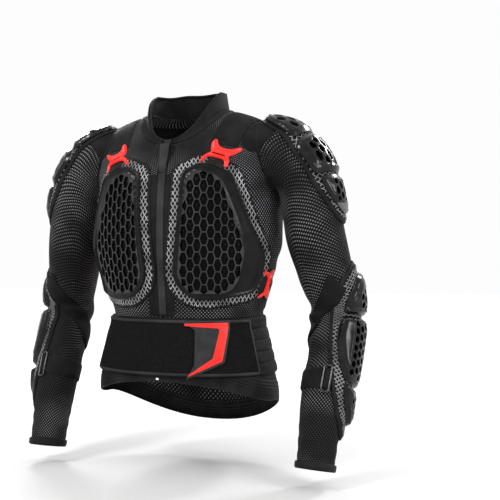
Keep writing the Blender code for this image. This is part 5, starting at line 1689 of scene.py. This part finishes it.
def cap_relief(window, thickness):
    """A crowned cap with a ridge in from its edge and a raised rim round its window."""
    def relief(flat, gap):
        crown = 0.0030 + (thickness - 0.0034) * np.sqrt(np.clip(gap / 0.014, 0, 1))
        ridge = 0.0011 * np.exp(-(((gap - 0.0050) / 0.0013) ** 2))
        outside = ~within(flat, window)
        rim = 0.0008 * np.exp(-((edge_gap(flat, window) / 0.0020) ** 2)) * outside
        return crown + ridge + rim

    return relief


def lip_picks(outline, share):
    """The faces of a cap's lip: its far end, past a share of its length."""
    start = outline[:, 0].min() + share * np.ptp(outline[:, 0])

    def picks(middles):
        return (middles[:, 0] > start).astype(int)

    return picks


for name, side in SIDES:
    chart = sleeve_chart(side)
    for place, pad_shares, caps in (("shoulder", SHOULDER_PAD, SHOULDER_CAPS),
                                    ("elbow", ELBOW_PAD, ELBOW_CAPS)):
        pad_name = f"{name}_{place}_pad_net"
        thickness = CAP_THICKNESS if place == "shoulder" else ELBOW_CAP_THICKNESS
        under = [name + "_shoulder_wing_knit", name + "_shoulder_strap_knit"]
        pad_outline = rounded_outline(sleeve_place(pad_shares), 0.016, 0.003)
        pad = laid(pad_name, chart, whole_skin, under if place == "shoulder" else [], pad_outline,
                   LIMB_PAD_THICKNESS, [net_ground], spacing=PAD_SPACING,
                   relief=soft_edge(LIMB_PAD_THICKNESS, 0.0014, 0.008), settle=30)
        dress(pad, "pad_net", f"{name}_{place}_pad")
        cap_outlines = []
        for number, cap in enumerate(caps, 1):
            outline = rounded_outline(sleeve_place(cap.outline), 0.010, 0.0022)
            window = cap_window(outline, cap.window)
            holes = cells(window, CAP_CELL_PITCH, CAP_CELL_RIB, along=True, smallest=0.35)
            lip = lip_picks(outline, cap.lip) if cap.lip else None
            shell = laid(f"{name}_{place}_cap_{number}_shell", chart, whole_skin, [pad_name], outline,
                         thickness, [cap_gloss, lip_grey], holes=holes, spacing=0.0024,
                         relief=cap_relief(window, thickness), rim=0.0010, settle=20, picks=lip)
            dress(shell, "armour", f"{name}_{place}_cap_{number}")
            cap_outlines.append(outline)
            floor_studs = studs([hole.mean(0) for hole in holes], 0.0010, 0.0012, 0.0030)
            base = laid(f"{name}_{place}_cap_{number}_liner", chart, whole_skin, [pad_name],
                        grown(window, 0.002), 0.001, [cell_liner_and_shade], spacing=0.003,
                        relief=floor_studs, settle=20)
            dress(base, "armour")
        dress(net_over(f"{name}_{place}_net", chart, pad_name, pad_outline,
                       [grown(outline, -0.002) for outline in cap_outlines], NET_PITCH,
                       grey_cord, margin=0.005), "pad_net")
        dress(bound_edge(f"{name}_{place}_pad_binding", chart, pad_name, pad_outline, 0.0075, 0.0016,
                         binding_tape, 0.0012), "smooth_fabric")

# Sleeve straps.
# A broad elastic crosses the inside of each elbow, and a narrower strap goes round the forearm
# through a steel wire ring at the edge of the elbow pad, and closes on itself.
FOREARM_STRAP_WIDTH = 0.032
ELBOW_STRAP_WIDTH = 0.042
LOOP_WIDTH = 0.018
WIRE_RADIUS = 0.0015
ELBOW_STRAP = ((0.475, -55), (0.545, -100), (0.615, -150), (0.655, -200), (0.665, -240))
FOREARM_STRAP = ((0.778, -62), (0.778, -120), (0.778, -185), (0.778, -264))
FOREARM_LOOP = (0.778, -74)
FOREARM_STITCHES = ((0.766, -242), (0.790, -242), (0.790, -258), (0.766, -258), (0.766, -242))

dark_steel = moulded_finish("dark_steel", (0.045, 0.045, 0.047), (0.160, 0.160, 0.165), 0.30,
                            0.00002, Metallic=0.8)
sleeve_skin = tree_from(np.concatenate(whole_points[1:]),
                        np.concatenate([sleeve_faces, sleeve_faces + len(sleeve_grid)]))
for name, side in SIDES:
    chart = sleeve_chart(side)
    under = [name + "_elbow_pad_net"]
    cross = laid(name + "_elbow_strap_elastic", chart, sleeve_skin, under,
                 ribbon(sleeve_place(ELBOW_STRAP), ELBOW_STRAP_WIDTH), STRAP_THICKNESS,
                 [strap_knit], spacing=0.0035, relief=soft_edge(0.0020, 0.0009, 0.003), settle=30)
    dress(cross, "smooth_fabric", name + "_elbow_strap")
    strap = laid(name + "_forearm_strap_elastic", chart, sleeve_skin,
                 under + [name + "_elbow_strap_elastic"],
                 ribbon(sleeve_place(FOREARM_STRAP), FOREARM_STRAP_WIDTH), STRAP_THICKNESS,
                 [strap_knit], spacing=0.0035, relief=soft_edge(0.0021, 0.0010, 0.002), settle=20)
    dress(strap, "webbing", name + "_forearm_strap")
    ring_middle = sleeve_place([FOREARM_LOOP])[0]
    ring_path = rounded_outline(box_corners(ring_middle, FOREARM_STRAP_WIDTH + 2 * LOOP_BAR,
                                            LOOP_WIDTH), 0.004, 0.0015)
    ring_spots, ring_up = cast(sleeve_skin, *chart(ring_path))
    ring_line = eased(ring_spots + ring_up * (STRAP_THICKNESS + 2 * WIRE_RADIUS), 1)
    ring = tube_set(name + "_forearm_ring", [(ring_line, ring_up)], WIRE_RADIUS, WIRE_RADIUS, 10,
                    True, dark_steel)
    dress(ring, "armour", name + "_forearm_loop")
    dress(stitches(name + "_forearm_stitching", chart, name + "_forearm_strap_elastic",
                   sleeve_place(FOREARM_STITCHES)), "smooth_fabric")

# Studio.
# A plain pale floor and background with large soft lights, and the camera of the photograph: a
# quarter to the wearer's left, level with the lower chest.
FLOOR_DROP = 0.668
CAMERA_TURN = radians(25)
CAMERA_DISTANCE = 1.52
CAMERA_HEIGHT = -0.289
LENS = 57.6
AIM_RIGHT = radians(4.36)
AIM_UP = radians(1.0)
FLOOR_HALF = 9
LIGHT_AIM = Vector((0, 0, -0.3))
WORLD_STRENGTH = 0.98

# The floor is painted darker towards its middle: painted shade that cancels the lamps' pool of light,
# so the lit floor comes out evenly white and the jacket's shadows show.
floor_finish = finish("studio_floor", 0.9)
floor_reach = joint(floor_finish, "VectorMath", joint(floor_finish, "TexCoord", out="Object"),
                    operation="LENGTH", out="Value")
tinted(floor_finish, step_up(floor_finish, floor_reach, 0.5, 4.5), (0.50, 0.50, 0.50),
       (0.99, 0.99, 0.99))
floor_rows = [[[x, y, -FLOOR_DROP] for x in (-FLOOR_HALF, FLOOR_HALF)]
              for y in (-FLOOR_HALF, FLOOR_HALF)]
floor = knit_grid("studio_floor", np.array(floor_rows, float), (2 * FLOOR_HALF, 2 * FLOOR_HALF),
                  False, [floor_finish])

world = bpy.data.worlds.new("studio")
bpy.context.scene.world = world
world.use_nodes = True
background = world.node_tree.nodes["Background"]
background.inputs["Color"].default_value = (1, 1, 1, 1)
background.inputs["Strength"].default_value = WORLD_STRENGTH
bpy.context.scene.view_settings.view_transform = "Standard"

StudioLight = namedtuple("StudioLight", "name place size power")
STUDIO_LIGHTS = (
    StudioLight("key", (-1.2, -1.9, 1.5), 0.7, 60),
    StudioLight("side", (2.2, -0.7, 0.6), 1.0, 40),
    StudioLight("rim", (-1.6, 1.6, 1.0), 0.6, 45),
    StudioLight("back", (1.2, 2.0, 1.4), 0.6, 45),
)
for light in STUDIO_LIGHTS:
    lamp = bpy.data.lights.new(light.name, "AREA")
    lamp.energy = light.power
    lamp.size = light.size
    holder = bpy.data.objects.new(light.name, lamp)
    holder.location = light.place
    aim = LIGHT_AIM - Vector(light.place)
    holder.rotation_euler = aim.to_track_quat("-Z", "Y").to_euler()
    bpy.context.scene.collection.objects.link(holder)

overhead = bpy.data.lights.new("overhead", "SUN")
overhead.energy = 0.12
overhead.angle = radians(60)
bpy.context.scene.collection.objects.link(bpy.data.objects.new("overhead", overhead))

lens = bpy.data.cameras.new("photograph")
lens.lens = LENS
camera = bpy.data.objects.new("photograph", lens)
camera.location = (sin(CAMERA_TURN) * CAMERA_DISTANCE, -cos(CAMERA_TURN) * CAMERA_DISTANCE,
                   CAMERA_HEIGHT)
camera.rotation_euler = (pi / 2 + AIM_UP, 0, CAMERA_TURN - AIM_RIGHT)
bpy.context.scene.collection.objects.link(camera)
bpy.context.scene.camera = camera
